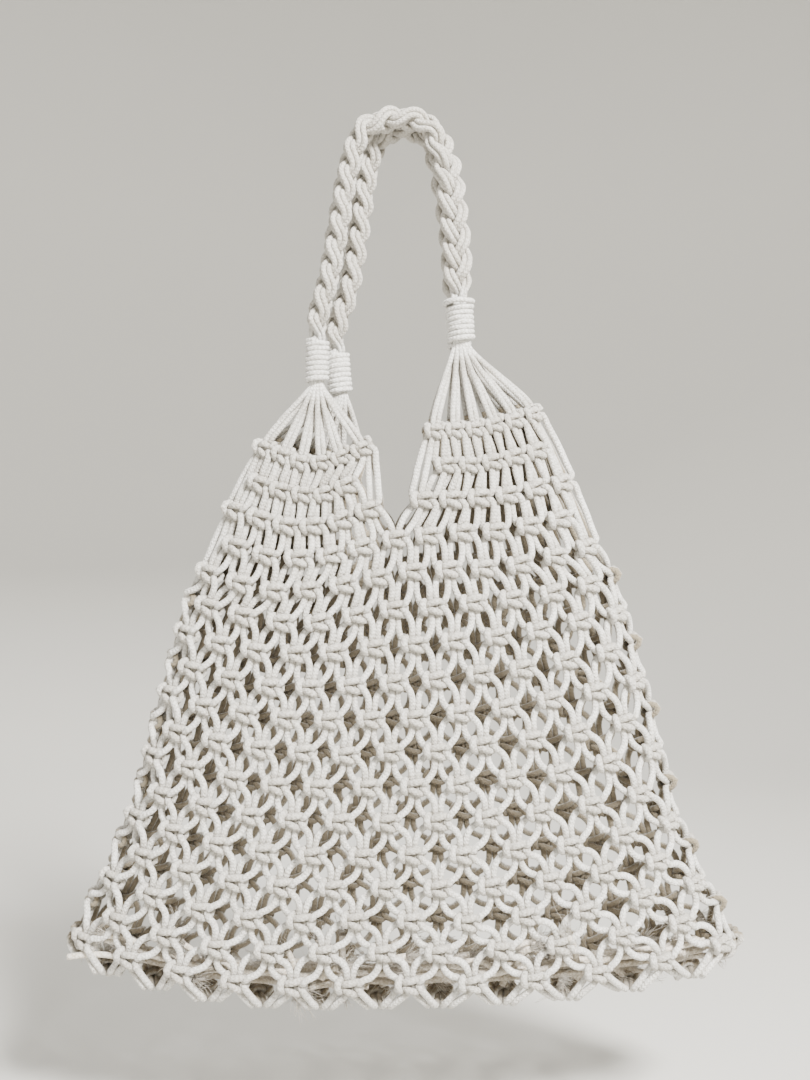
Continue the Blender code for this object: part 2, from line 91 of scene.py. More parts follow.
# Width of the V between the lobes by row, as a share of the notch's width
NOTCH_SHAPE = (
    # row, width
    (1, 1.00),
    (2, 0.98),
    (3, 0.50),
    (NOTCH_ROW, 0.00),
)

# How far the middle of a row has slid along, as a share of its width
SWAY = (
    # row, share
    (1, 0.0),
    (5, -0.010),
    (9, -0.019),
    (13, -0.030),
    (17, -0.036),
)

# One square knot seen from outside the bag, in thicknesses of the cord. The left cord lays both bars in
# front, the right one passes behind twice and makes the upright turn on the left. Size: thickness, as a share
KNOT = {
    "left": (
        # across, up, out, size
        (-1.80, 0.82, -0.30, 0.98),
        (-1.28, 0.28, -0.10, 0.94),
        (-0.65, 0.42, 0.62, 0.98),
        (0.00, 0.54, 0.92, 1.06),
        (0.60, 0.52, 0.72, 1.04),
        (1.05, 0.42, 0.05, 0.94),
        (1.36, 0.22, -0.42, 0.92),
        (1.50, -0.16, -0.50, 0.90),
        (1.40, -0.56, -0.30, 0.92),
        (1.05, -0.86, 0.15, 0.94),
        (0.55, -0.80, 0.68, 0.98),
        (0.00, -0.62, 0.90, 1.00),
        (-0.62, -0.40, 0.62, 0.94),
        (-1.08, -0.32, 0.00, 0.92),
        (-1.55, -0.72, -0.34, 0.96),
    ),
    "right": (
        (1.88, 0.94, 0.40, 0.98),
        (1.40, 0.50, 0.58, 0.96),
        (0.98, 0.26, -0.10, 0.90),
        (0.60, 0.34, -0.70, 0.90),
        (0.00, 0.50, -0.88, 0.90),
        (-0.65, 0.62, -0.65, 0.90),
        (-1.12, 0.66, -0.05, 0.94),
        (-1.38, 0.44, 0.62, 1.02),
        (-1.48, 0.06, 0.92, 1.10),
        (-1.38, -0.30, 0.66, 1.02),
        (-1.12, -0.60, 0.08, 0.94),
        (-0.66, -0.74, -0.60, 0.90),
        (0.00, -0.56, -0.88, 0.90),
        (0.62, -0.30, -0.68, 0.90),
        (1.00, -0.22, -0.05, 0.92),
        (1.36, -0.42, 0.52, 0.96),
        (1.72, -0.92, 0.42, 1.00),
    ),
    "inner_left": (
        (-0.46, 0.92, 0.00, 0.92),
        (-0.38, 0.45, 0.00, 0.80),
        (-0.38, -0.45, 0.00, 0.80),
        (-0.46, -0.95, 0.00, 0.92),
    ),
    "inner_right": (
        (0.44, 0.92, 0.00, 0.92),
        (0.36, 0.45, 0.00, 0.80),
        (0.36, -0.45, 0.00, 0.80),
        (0.44, -0.95, 0.00, 0.92),
    ),
}

# In the top row the outer cords are one cord folded behind the inner ones: how many points of the full knot
# its way in takes the place of on each side, and that way
FOLD = {
    "left": (
        1,
        (
            (0.00, 1.12, -0.90, 0.95),
            (-0.75, 1.16, -0.75, 0.95),
            (-1.35, 0.92, -0.50, 0.95),
            (-1.50, 0.52, -0.32, 0.95),
        ),
    ),
    "right": (
        2,
        (
            (0.00, 1.12, -0.90, 0.95),
            (0.80, 1.16, -0.50, 0.95),
            (1.38, 0.96, 0.20, 0.95),
            (1.44, 0.50, 0.52, 0.95),
        ),
    ),
}

# Where the cords of a knot go. Side: the knot below on the left is 0, on the right 1. Role: their place in it
NEXT = {
    # cord: (side, role)
    "left": (0, "inner_right"),
    "inner_left": (0, "right"),
    "inner_right": (1, "left"),
    "right": (1, "inner_left"),
}

# The side to which each cord bows after it leaves a knot, seen from outside: 1 is counterclockwise
BOWS = {"left": -1, "inner_left": 1, "inner_right": -1, "right": 1}

# The knots under the bottom join each cord of the front to one of the back. Side: which of the two knots of
# the back row, 0 on the left of the front view. Role: the cord's place in that knot, seen from behind.
UNDER = {
    # place in the bottom knot: (side, role, across)
    "left": (0, "inner_left", -1.60),
    "inner_left": (0, "left", -0.55),
    "inner_right": (1, "right", 0.50),
    "right": (1, "inner_right", 1.60),
}

# The four ends of the plaits. Column: the first one of its lobe. Across: as a share of the handles' spread.
# Drop: as a share of their drop. Lean: of the wrap, in degrees, its foot to the right. Girth: outer radius of
# the wrap in metres.
Leg = namedtuple("Leg", "name face column across drop lean girth")
LEGS = (
    Leg("front_left", -1, 0, -0.990, 0.995, -1.0, 0.0074),
    Leg("front_right", -1, 6, 0.710, 0.803, 3.0, 0.0084),
    Leg("back_left", 1, 18, -0.780, 1.035, 5.0, 0.0078),
    Leg("back_right", 1, 12, 0.700, 0.812, 3.0, 0.0078),
)

# The middle line of each plait from left to right. Across and rise: as shares of the handles' spread and
# drop. Turn: of the plait's flat side, in degrees, 0 where it faces the middle of the loop.
PLAIT_SHAPE = {
    "front": (
        # across, rise, turn
        (-0.860, -0.760, 10.0),
        (-0.740, -0.500, 15.0),
        (-0.625, -0.250, 10.0),
        (-0.450, -0.062, 0.0),
        (-0.200, -0.008, 0.0),
        (0.100, 0.000, 0.0),
        (0.360, -0.040, 15.0),
        (0.540, -0.200, 50.0),
        (0.635, -0.420, 80.0),
        (0.690, -0.640, 88.0),
    ),
    "back": (
        (-0.640, -0.780, 20.0),
        (-0.520, -0.500, 20.0),
        (-0.420, -0.250, 10.0),
        (-0.290, -0.075, 0.0),
        (-0.100, -0.008, 0.0),
        (0.120, 0.000, 0.0),
        (0.360, -0.055, 15.0),
        (0.520, -0.205, 50.0),
        (0.615, -0.420, 80.0),
        (0.670, -0.640, 88.0),
    ),
}

# The four cords of a knot
ROLES = ("left", "inner_left", "inner_right", "right")

# The knots. Lengths are in metres.
KNOT_TILT = 2.5  # degrees, the usual tilt of a knot out of its row
KNOT_SHIFT = 0.0004  # the usual shift of a knot
KNOT_SPREAD = 0.025  # the usual difference in size, as a share
KNOT_SPAN = 4.3  # width of a free knot, in thicknesses of the cord
KNOT_NARROWEST = 0.70  # the least width, as a share of a free knot's
KNOT_WIDEST = 0.90
SQUEEZED = 0.88  # size of the cords in the narrowest knot
PITCH_STEP = 0.25  # columns on each side of a knot over which its direction is read
ROW_STEP = 0.5  # rows over which its upright is read
UNDER_SEED = 1000  # keeps the seeds of the bottom's knots away from the net's

# How the back net hangs behind the front one, as shares of its width and height
BACK_SPREAD = 0.028  # its knots slide outwards
BACK_SLIDE = 0.012  # and to the left
BACK_RISE = 0.045  # its middle hangs higher
BACK_SKEW = 1.6  # above 1, it rises most below the middle

# The cords between the knots
ARC_REACH = 1.25  # how strongly a cord keeps its direction when it leaves a knot
ARC_STATIONS = (0.2, 0.4, 0.6, 0.8)
BOW_LEAST = 9.0  # degrees between a cord and its chord as it leaves a knot in the closest rows
BOW_MOST = 44.0
BOW_EDGE = 7.0  # beside the V and the slits, where a cord skips a row
BOW_PITCH = 3.2  # of the closest knots, in thicknesses of the cord
BOW_GAIN = 6.8  # degrees more for each thickness of wider pitch

# The fans. Sizes of cords are shares of their thickness.
FAN_CORDS = 12
FAN_PAIR = 0.05  # half the way between the two cords of a pair
FAN_DEPTH = 0.7  # how far the cords stand apart in depth inside the wrap, as a share of its core
FAN_STIFFNESS = 0.5
FAN_SPREAD = 0.35  # how far the outer cords lean out as they leave the wrap
FAN_SWELL = 3.0  # how soon a cord swells again below the wrap
FAN_SIZE = 0.80
FAN_STATIONS = (0.08, 0.2, 0.36, 0.52, 0.68, 0.84)
CORE_SIZE = 0.66  # of the cords inside a wrap

# The bottom
BOTTOM_SHARE = 0.48  # where its knots lie between the front and the back
EDGE_TURN = 0.16  # how far a cord has turned in at the edge, as a share of the way to its knot
EDGE_LIFT = 0.0015
CORNER_INSET = -0.001
CORNER_DROP = 0.2  # as a share of the seam
TAIL_LENGTH = 0.012
TAIL_LEAN = 0.5
TAIL_SINK = 0.2
TAIL_SIZE = 0.9
TAIL_SEEDS = 10

# The pushing apart. Distances are in radii of the thickest cord.
OWN_NEIGHBOURS = 4  # points along one cord that don't push one another
SETTLE_ROUNDS = 16
SETTLE_LOOK = 4  # rounds from one search for close cords to the next
SETTLE_REACH = 2.2
SETTLE_TOUCH = 0.97  # cords may press into one another this much
SETTLE_GAIN = 1.2
SOFT_SIZE = 0.75  # cords squeezed below this size aren't pushed
TUCK_REACH = 2.5
TUCK_CROWD = 10.0  # close points round a point that is fully tucked in
TUCK_SMOOTHING = 3
SMALL = 1e-9

# The plaits
PLAIT_THICKNESS = 0.0116
PLAIT_STEP = 0.004
PLAIT_STRANDS = 3
PLAIT_SEEDS = (7, 3, 1, 50)  # steps of the seed by strand, side, depth and handle
LEG_OFFSET = 0.0093  # from the middle of the bag to the middle of a plait
STRAND_WIDE = 1.0  # how far apart the cords of a strand lie, in their thicknesses
STRAND_DEEP = 0.72
CORE_TAPER = 0.012  # length over which a plait narrows into its wrap
CORE_WIDE = 0.50  # its width and thickness inside the wrap, as shares
CORE_THICK = 0.85

# The wraps
WRAP_POINTS = 12  # in one turn
WRAP_START = 2.2  # radians round the wrap
WRAP_WOBBLE = 0.00012
WRAP_STEP = 0.0016
WRAP_EDGE = 0.002
WRAP_HIDDEN = 0.6  # turns that the tucked ends take up
WRAP_TUCK = 0.8  # how far the ends lie under the turns, in thicknesses of the cord
LOOSE_LEG = "front_right"  # the wrap with one loose turn
LOOSE_TURN = 1.1
LOOSE_WIDTH = 0.45
LOOSE_REACH = 0.0022
LOOSE_RISE = 0.0014

# Fibres of the frayed ends
FIBRE = 0.00042  # thickness of a wisp of fibres
FIBRE_SIDES = 3
FIBRE_POINTS = 6
FIBRE_ROOT = 0.0022
FIBRE_REACH = (0.5, 1.1)  # shortest and longest, as shares of a brush's length
FIBRE_CURL = 0.22
FIBRE_JITTER = 0.0006
FIBRE_TAPER = 0.5
FIBRE_INSET = 0.004  # from the corners of the bottom
FIBRE_BEYOND = 0.002  # how far a fibre may reach past the net
TUFT_BEYOND = 0.007

# The cords laid along the bottom inside. Deep: from 0 at the front to 1 at the back. Rise: above the bottom,
# in metres. Start, end: from 0 at the left to 1 at the right.
LAID = (
    # deep, rise, start, end
    (0.14, 0.010, 0.07, 0.93),
    (0.26, 0.008, 0.08, 0.93),
    (0.40, 0.009, 0.07, 0.94),
    (0.55, 0.008, 0.08, 0.93),
    (0.70, 0.009, 0.08, 0.93),
    (0.33, 0.0125, 0.10, 0.88),
    (0.20, 0.0135, 0.12, 0.90),
)
LAID_POINTS = 26
LAID_WAVE = 0.0006
LAID_SIZE = 0.92
LAID_SEED = 41
SAG_EDGE = 0.08  # the sag of the bottom is read no nearer to its edges than this

# The loose ends inside. Pairs are the least and the most.
LOOSE_ENDS = 74
LOOSE_ALONG = (0.07, 0.93)
LOOSE_DEEP = (0.08, 0.75)
LOOSE_LEAN = (-1.6, 1.6)
LOOSE_ROOT = (0.002, 0.016)  # above the bottom
LOOSE_FORWARD = (-0.3, 0.1)
LOOSE_UPWARD = (0.5, 1.4)
LOOSE_LENGTH = (0.012, 0.034)
LOOSE_CORNER = 0.42  # beyond this share from the middle they lean inwards
LOOSE_BEND = (0.3, -0.4)  # sideways and down, as shares of the length
LOOSE_POINTS = 4
LOOSE_SIZE = 0.95
BRUSH_FIBRES = 30
BRUSH_LENGTH = (0.008, 0.017)
BRUSH_SPREAD = 0.9

# Frayed ends that have worked their way out between the lowest cords
TUFTS = (
    # along, deep, fibres, length
    (0.205, 0.06, 60, 0.010),
    (0.345, 0.10, 110, 0.015),
    (0.410, 0.10, 50, 0.010),
    (0.715, 0.08, 50, 0.009),
)
TUFT_AIM = (0.9, -0.5, -0.25)
TUFT_SPREAD = 1.0

# What the meshes hold for the materials
CORD_UV = "cord"
SHADE = "shade"
# How crowded a cord is and how far it faces into the bag; the materials darken cord by both, a painted shade
TUCKED = "tucked"
INSIDE = "inside"

# The cotton's finish
BRAID_STRANDS = 6.0  # round the cord
BRAID_PITCH = 0.0021
BRAID_DEPTH = 0.0006
FRAYED_DEPTH = 0.0004
FUZZ_SCALE = 750.0
FUZZ_DETAIL = 3.0
PATCH_SCALE = 28.0
PATCH_DETAIL = 4.0
FLECK_GAIN = 5.5
FLECK_START = -2.5
SHADE_TONE = 0.25  # how much each mask darkens the cord
PATCH_TONE = 0.35
# How strongly crowded cord, the braid's grooves and cord that faces into the bag are darkened: painted shade
TUCKED_PAINTED_SHADE = 0.45
GROOVE_PAINTED_SHADE = 0.16
INSIDE_PAINTED_SHADE = 0.95
ROUGH_LEAST = 0.80
ROUGH_SPAN = 0.16
BRAID_RELIEF = 0.5
FUZZ_RELIEF = 0.7
SHEEN = 0.25
SHEEN_ROUGHNESS = 0.6
SPECULAR = 0.25
MIX_FACTOR, MIX_FIRST, MIX_SECOND, MIX_RESULT = 0, 6, 7, 2  # sockets of a colour mix node

# The stage: a round floor that curves up into a backdrop
FLOOR_HEIGHT = -0.60
FLOOR_PATCHES = 1.5
FLOOR_MOTTLE = 0.94
FLOOR_ROUGHNESS = 0.9
BACKDROP = 2.4
BACKDROP_HEIGHT = 3.0
COVE = 1.2
COVE_STEPS = 16
COVE_SIDES = 96
CAMERA_ACROSS = 0.003
CAMERA_HEIGHT = -0.247
LIGHT_AIM = (0, 0, -0.3)
LIGHTS = (
    # name, place, size, colour
    ("key", (0.65, -1.05, 0.70), 0.36, (1, 0.99, 0.96)),
    ("fill", (-1.2, -0.8, 0.0), 1.0, (0.96, 0.98, 1)),
    ("rear", (-0.5, 1.3, 0.6), 0.8, (1, 0.99, 0.97)),
)
ROOM_COLOUR = (0.95, 0.97, 1.0, 1.0)
ROOM_LIGHT = 0.085


class Strand:
    """One cord: control points with their sizes, and the piece that each stretch belongs to."""

    def __init__(self, thickness, shade=0.5):
        self.thickness = thickness
        self.shade = shade
        self.points = []
        self.sizes = []
        self.labels = []

    def add(self, rows, label):
        """Goes on through rows of (point, size)."""
        for point, size in rows:
            self.points.append(tuple(point))
            self.sizes.append(size)
            self.labels.append(label)
        return self

    def sample(self, step):
        """Turns the control points into points at equal steps along a smooth line through them."""
        points = np.array(self.points)
        stations = lengths_along(points)
        count = max(3, round(stations[-1] / step))
        at = np.linspace(0.0, stations[-1], count + 1)
        self.path = smooth(stations, points, at)
        self.radius = np.interp(at, stations, self.sizes) * self.thickness / 2
        span = np.clip(np.searchsorted(stations, at, side="right") - 1, 0, len(stations) - 2)
        self.owner = [self.labels[k] for k in span]
        self.tucked = np.zeros(len(at))
        return self


def weights(t):
    """How much the start, its direction, the end and its direction count at a share of a smooth arc."""
    return 2 * t**3 - 3 * t**2 + 1, t**3 - 2 * t**2 + t, 3 * t**2 - 2 * t**3, t**3 - t**2


def arc_point(t, start, out, end, back):
    """A point of the arc that leaves start in the direction out and comes into end in the direction back."""
    at_start, at_out, at_end, at_back = weights(t)
    return start * at_start + out * at_out + end * at_end + back * at_back


def lengths_along(points):
    """The way along the points, from 0 at the first one."""
    gaps = np.linalg.norm(np.diff(points, axis=0), axis=1)
    return np.concatenate([[0.0], np.cumsum(gaps)])


def smooth(stations, values, at):
    """The smooth curve through values at the stations, read at one place or at many."""
    stations = np.asarray(stations, float)
    values = np.asarray(values, float)
    at = np.asarray(at, float)
    order = np.arange(len(stations))
    before = np.maximum(order - 1, 0)
    after = np.minimum(order + 1, len(stations) - 1)
    slopes = ((values[after] - values[before]).T / (stations[after] - stations[before])).T
    span = np.clip(np.searchsorted(stations, at, side="right") - 1, 0, len(stations) - 2)
    step = stations[span + 1] - stations[span]
    at_start, at_out, at_end, at_back = weights((at - stations[span]) / step)
    curve = at_start * values[span].T + at_out * step * slopes[span].T
    curve = curve + at_end * values[span + 1].T + at_back * step * slopes[span + 1].T
    return curve.T


def net_value(row, column):
    """One column of NET_SHAPE at a row."""
    return float(smooth([line[0] for line in NET_SHAPE], [line[column] for line in NET_SHAPE], row))


def level_cut(half_width, half_depth, along):
    """A place on the half superellipse of one face, along from 0 at the left to 1 at the right."""
    angles = np.linspace(math.pi, 0, SECTION_SAMPLES + 1)
    across = np.sign(np.cos(angles)) * np.abs(np.cos(angles)) ** (2 / SECTION_POWER)
    outward = np.abs(np.sin(angles)) ** (2 / SECTION_POWER)
    steps = np.hypot(np.diff(across * half_width), np.diff(outward * half_depth))
    length = np.concatenate([[0.0], np.cumsum(steps)])
    place = along * length[-1]
    return float(np.interp(place, length, across)), float(np.interp(place, length, outward))


def net_point(net, face, row, along):
    """A point on the middle of the net. Face is -1 in front and 1 at the back, along runs left to right."""
    left = -net_value(row, 1) * net.width / 2
    right = net_value(row, 2) * net.width / 2
    half_depth = net_value(row, DEPTH_COLUMN) * net.depth
    half_depth *= FRONT_SHARE if face < 0 else 1 - FRONT_SHARE
    across, outward = level_cut((right - left) / 2, half_depth, along)
    drop = float(smooth(DROP_PLACES, [net_value(row, column) for column in DROP_COLUMNS], along))
    if face > 0:
        down = max((row - 1) / (ROWS - 1), 0.0) ** BACK_SKEW
        drop -= BACK_RISE * math.sin(math.pi * along) * math.sin(math.pi * down)
    return Vector(
        (
            (left + right) / 2 + across * (right - left) / 2,
            face * outward * half_depth,
            -net.drop - drop * net.height,
        )
    )


def swayed(row, along, face=-1):
    """A share of the face, moved to where the net has slid: to the left, and at the back outwards too."""
    rows, shares = zip(*SWAY)
    moved = along + float(np.interp(row, rows, shares)) * math.sin(math.pi * along)
    if face > 0:
        moved -= BACK_SPREAD * math.sin(2 * math.pi * along) * row / ROWS
        moved -= BACK_SLIDE * math.sin(math.pi * along) * row / ROWS
    return moved


def lobe_place(net, row, along, face):
    """Where a share of the face goes when the V and the slits at the sides draw its lobes in."""
    width = (net_value(row, 1) + net_value(row, 2)) * net.width / 2
    outer = net.slit / width if row < SIDE_ROW else 0.0
    rows, widths = zip(*NOTCH_SHAPE)
    notch = net.notch * float(np.interp(row, rows, widths)) / width
    drawn = 1 - 2 * outer - notch
    return swayed(row, outer + along * drawn if along < 0.5 else 1 - outer - (1 - along) * drawn, face)


def around_point(net, place, row, lobe_row):
    """A point of the net. Place counts knots round the bag from the left side, over the front and back."""
    place %= COLUMNS
    face, along = (-1, place / HALF_ROUND)
    if place > HALF_ROUND:
        face, along = (1, (COLUMNS - place) / HALF_ROUND)
    return net_point(net, face, min(row, ROWS), lobe_place(net, lobe_row, along, face))


class Knot:
    """The place, the axes and the size of one square knot."""

    def __init__(self, centre, right, rise, cord, pitch, seed):
        draw = random.Random(seed)
        right = right.normalized()
        rise = (rise - rise.project(right)).normalized()
        tilt = math.radians(draw.gauss(0, KNOT_TILT))
        self.right = right * math.cos(tilt) + rise * math.sin(tilt)
        self.rise = rise * math.cos(tilt) - right * math.sin(tilt)
        self.out = self.right.cross(self.rise)
        self.centre = centre + self.right * draw.gauss(0, KNOT_SHIFT) + self.rise * draw.gauss(0, KNOT_SHIFT)
        self.cord = cord * (1 + draw.gauss(0, KNOT_SPREAD))
        self.pitch = pitch / cord
        self.narrow = min(max(self.pitch / KNOT_SPAN, KNOT_NARROWEST), KNOT_WIDEST)

    def place(self, across, up, out):
        """A point given in thicknesses of the cord."""
        return (
            self.centre
            + self.right * (across * self.cord * self.narrow)
            + self.rise * (up * self.cord)
            + self.out * (out * self.cord)
        )

    def through(self, role, fold=False):
        """The way of one of its four cords through the knot, as rows of (point, size)."""
        rows = KNOT[role]
        if fold and role in FOLD:
            skipped, start = FOLD[role]
            rows = start + rows[skipped:]
        squeeze = (self.narrow - KNOT_NARROWEST) / (KNOT_WIDEST - KNOT_NARROWEST)
        squeeze = SQUEEZED + (1 - SQUEEZED) * squeeze
        return [(self.place(across, up, out), size * squeeze) for across, up, out, size in rows]


def net_knot(net, row, place, cord):
    """The square knot of the net at a row and a place."""
    here = around_point(net, place, row, row)
    ahead = around_point(net, place + PITCH_STEP, row, row) - around_point(net, place - PITCH_STEP, row, row)
    rise = around_point(net, place, row - ROW_STEP, row) - around_point(net, place, row + ROW_STEP, row)
    seed = int(row * COLUMNS * 2 + place * 2)
    return Knot(here, ahead, rise, cord, ahead.length / (2 * PITCH_STEP), seed)


def has_knot(row, place):
    """Whether the even row has a knot at that place, because the lobes join only further down."""
    if place in (FRONT_NOTCH, BACK_NOTCH):
        return row >= NOTCH_ROW
    if place in (0, HALF_ROUND):
        return row >= SIDE_ROW
    return True


def between(last, here, leaving, entering):
    """The arc from one knot to the next. It bows to the side of its cord, and more where the net is wide."""
    (upper, upper_role), (_, lower_role) = last, here
    start, end = Vector(leaving[0]), Vector(entering[0])
    chord = end - start
    bow = min(max(BOW_LEAST + (upper.pitch - BOW_PITCH) * BOW_GAIN, BOW_LEAST), BOW_MOST)
    if upper_role == lower_role:
        bow = BOW_EDGE if upper_role in ("left", "right") else 0.0
    bow = math.radians(bow) * BOWS[upper_role]
    out = Matrix.Rotation(bow, 3, upper.out) @ chord * ARC_REACH
    back = Matrix.Rotation(-bow, 3, upper.out) @ chord * ARC_REACH
    return [(arc_point(t, start, out, end, back), 1.0) for t in ARC_STATIONS]


def down_the_net(knots, column, role):
    """One cord's way from the top row to the last, as rows of (point, size)."""
    side, other_role = NEXT[role]
    even = (column + side) % COLUMNS
    rows = []
    last = None
    for row in range(1, ROWS + 1):
        if row % 2:
            knot, here = knots[row, column + 0.5], role
        elif has_knot(row, even):
            knot, here = knots[row, float(even)], other_role
        else:
            continue
        through = knot.through(here, fold=row == 1)
        if last:
            rows += between(last, (knot, here), rows[-1], through[0])
        rows += through
        last = (knot, here)
    return rows


def leg_end(handles, leg):
    """Where a plait enters its wrap, and the way down through it."""
    top = Vector((leg.across * handles.spread, leg.face * LEG_OFFSET, -leg.drop * handles.drop))
    lean = math.radians(leg.lean)
    return top, Vector((math.sin(lean), 0, -math.cos(lean)))


def fan_path(handles, leg, order, knot, role):
    """The way of one cord from inside its wrap down to its knot. Order counts the fan's cords from 0 on."""
    top, down = leg_end(handles, leg)
    foot = top + down * handles.wrap_height
    level = Vector((-leg.face, 0, 0))
    pairs = FAN_CORDS // 2
    share = 2 * (order // 2 + 0.5) / pairs - 1
    share += FAN_PAIR if order % 2 else -FAN_PAIR
    core = leg.girth - handles.wrap_cord - handles.cord / 2 * CORE_SIZE
    across = share * core
    depth = math.sqrt(max(core**2 - across**2, 0.0)) * (FAN_DEPTH if order % 2 else -FAN_DEPTH)
    aside = level * across + Vector((0, depth, 0))
    entry = knot.through(role)[0][0]
    start = foot + aside
    reach = (entry - start).length * FAN_STIFFNESS
    out = (down + level * share * FAN_SPREAD) * reach
    rows = [
        (foot - down * handles.wrap_height / 2 + aside, CORE_SIZE),
        (foot - down * WRAP_EDGE + aside, CORE_SIZE),
    ]
    for t in FAN_STATIONS:
        size = CORE_SIZE + (FAN_SIZE - CORE_SIZE) * min(1.0, t * FAN_SWELL)
        rows.append((arc_point(t, start, out, entry, -knot.rise * reach), size))
    return rows


def bottom_knot(net, place, cord):
    """The knot under the bottom that joins both faces at a place. Its upper side is towards the front."""
    along = swayed(ROWS, place / HALF_ROUND)
    front = net_point(net, -1, ROWS, along)
    back = net_point(net, 1, ROWS, swayed(ROWS, place / HALF_ROUND, 1))
    step = PITCH_STEP / HALF_ROUND
    ahead = net_point(net, -1, ROWS, along + step) - net_point(net, -1, ROWS, along - step)
    centre = front.lerp(back, BOTTOM_SHARE) - Vector((0, 0, net.seam))
    ahead.y = 0
    pitch = ahead.length / (2 * PITCH_STEP)
    return Knot(centre, ahead, front - back, cord, pitch, ROWS * UNDER_SEED + place)


def under_edge(net, knot, place, face, across):
    """Where a cord turns under, below the last row of one face, on its way to or from a bottom knot."""
    edge = net_point(net, face, ROWS, swayed(ROWS, place / HALF_ROUND, face))
    inward = (knot.centre - edge) * EDGE_TURN
    return Vector((edge.x + across * knot.cord, edge.y + inward.y, edge.z - net.seam + EDGE_LIFT))


def corner_tail(knots, place, role):
    """A cord's way through the knot at a corner of the bottom, and its short end below."""
    inward = 1 if place == 0 else -1
    rows = knots["corner", place].through(role)
    draw = random.Random(place * TAIL_SEEDS + ROLES.index(role))
    last = Vector(rows[-1][0])
    turn = Vector((inward * TAIL_LEAN, draw.uniform(-TAIL_LEAN, TAIL_LEAN), -1.0)) * TAIL_LENGTH / 2
    under = Vector((inward, draw.uniform(-TAIL_LEAN, TAIL_LEAN), -TAIL_SINK)) * TAIL_LENGTH / 2
    return rows + [(last + turn, 1.0), (last + turn + under, TAIL_SIZE)]


def all_knots(net, cord):
    """Every knot of the net by row and place, and those of the bottom."""
    knots = {}
    for row in range(1, ROWS + 1):
        for column in range(COLUMNS):
            place = column + 0.5 if row % 2 else float(column)
            if row % 2 or has_knot(row, column):
                knots[row, place] = net_knot(net, row, place, cord)
    for place in range(1, HALF_ROUND):
        knots["under", place] = bottom_knot(net, place, cord)
    for place in (0, HALF_ROUND):
        side = net_knot(net, ROWS, float(place), cord)
        inward = 1 if place == 0 else -1
        side.centre += Vector((inward * CORNER_INSET, 0, -net.seam * CORNER_DROP))
        knots["corner", place] = side
    return knots


def face_strands(bag, knots):
    """The cords of both faces down to the last row, by column and role. The inner ones start in the wraps."""
    fans = {leg.column + k: (leg, 2 * k) for leg in LEGS for k in range(LOBE_COLUMNS)}
    strands = {}
    for column in range(COLUMNS):
        face = "front" if column < HALF_ROUND else "back"
        strip = (column % HALF_ROUND) // STRIP_COLUMNS + 1
        leg, order = fans[column]
        for role in ROLES:
            draw = random.Random(column * len(ROLES) + ROLES.index(role))
            strand = Strand(bag.cords.thickness, draw.random())
            if role.startswith("inner"):
                number = order + (role == "inner_right")
                path = fan_path(bag.handles, leg, number, knots[1, column + 0.5], role)
                strand.add(path, "fan_" + leg.name)
            strands[column, role] = strand.add(down_the_net(knots, column, role), f"net_{face}_{strip}")
    return strands


def laid_strands(bag):
    """All cords of the net, the fans and the bottom. Below, a cord of the front goes on as one behind."""
    net = bag.net
    knots = all_knots(net, bag.cords.thickness)
    strands = face_strands(bag, knots)
    made = []
    for (column, role), strand in strands.items():
        side, place_role = NEXT[role]
        place = (column + side) % COLUMNS
        if place in (0, HALF_ROUND):
            made.append(strand.add(corner_tail(knots, place, place_role), "bottom"))
        elif column < HALF_ROUND:
            knot = knots["under", place]
            back_side, back_role, across = UNDER[place_role]
            back = strands[COLUMNS - place - back_side, back_role]
            strand.add([(under_edge(net, knot, place, -1, across), 1.0)], "bottom")
            strand.add(knot.through(place_role), "bottom")
            strand.add([(under_edge(net, knot, place, 1, across), 1.0)], "bottom")
            for point, size, label in zip(back.points[::-1], back.sizes[::-1], back.labels[::-1]):
                strand.add([(point, size)], label)
            made.append(strand)
    return made


def close_pairs(points, solid, strand_of, reach):
    """Pairs of points of different cords, or of far stretches of one cord, within reach of each other."""
    tree = kdtree.KDTree(len(points))
    for k, point in enumerate(points):
        tree.insert(point, k)
    tree.balance()
    first, second = [], []
    for k, point in enumerate(points):
        if not solid[k]:
            continue
        for _, other, _ in tree.find_range(point, reach):
            if other <= k or not solid[other]:
                continue
            if strand_of[other] != strand_of[k] or other - k > OWN_NEIGHBOURS:
                first.append(k)
                second.append(other)
    return np.array(first, int), np.array(second, int)


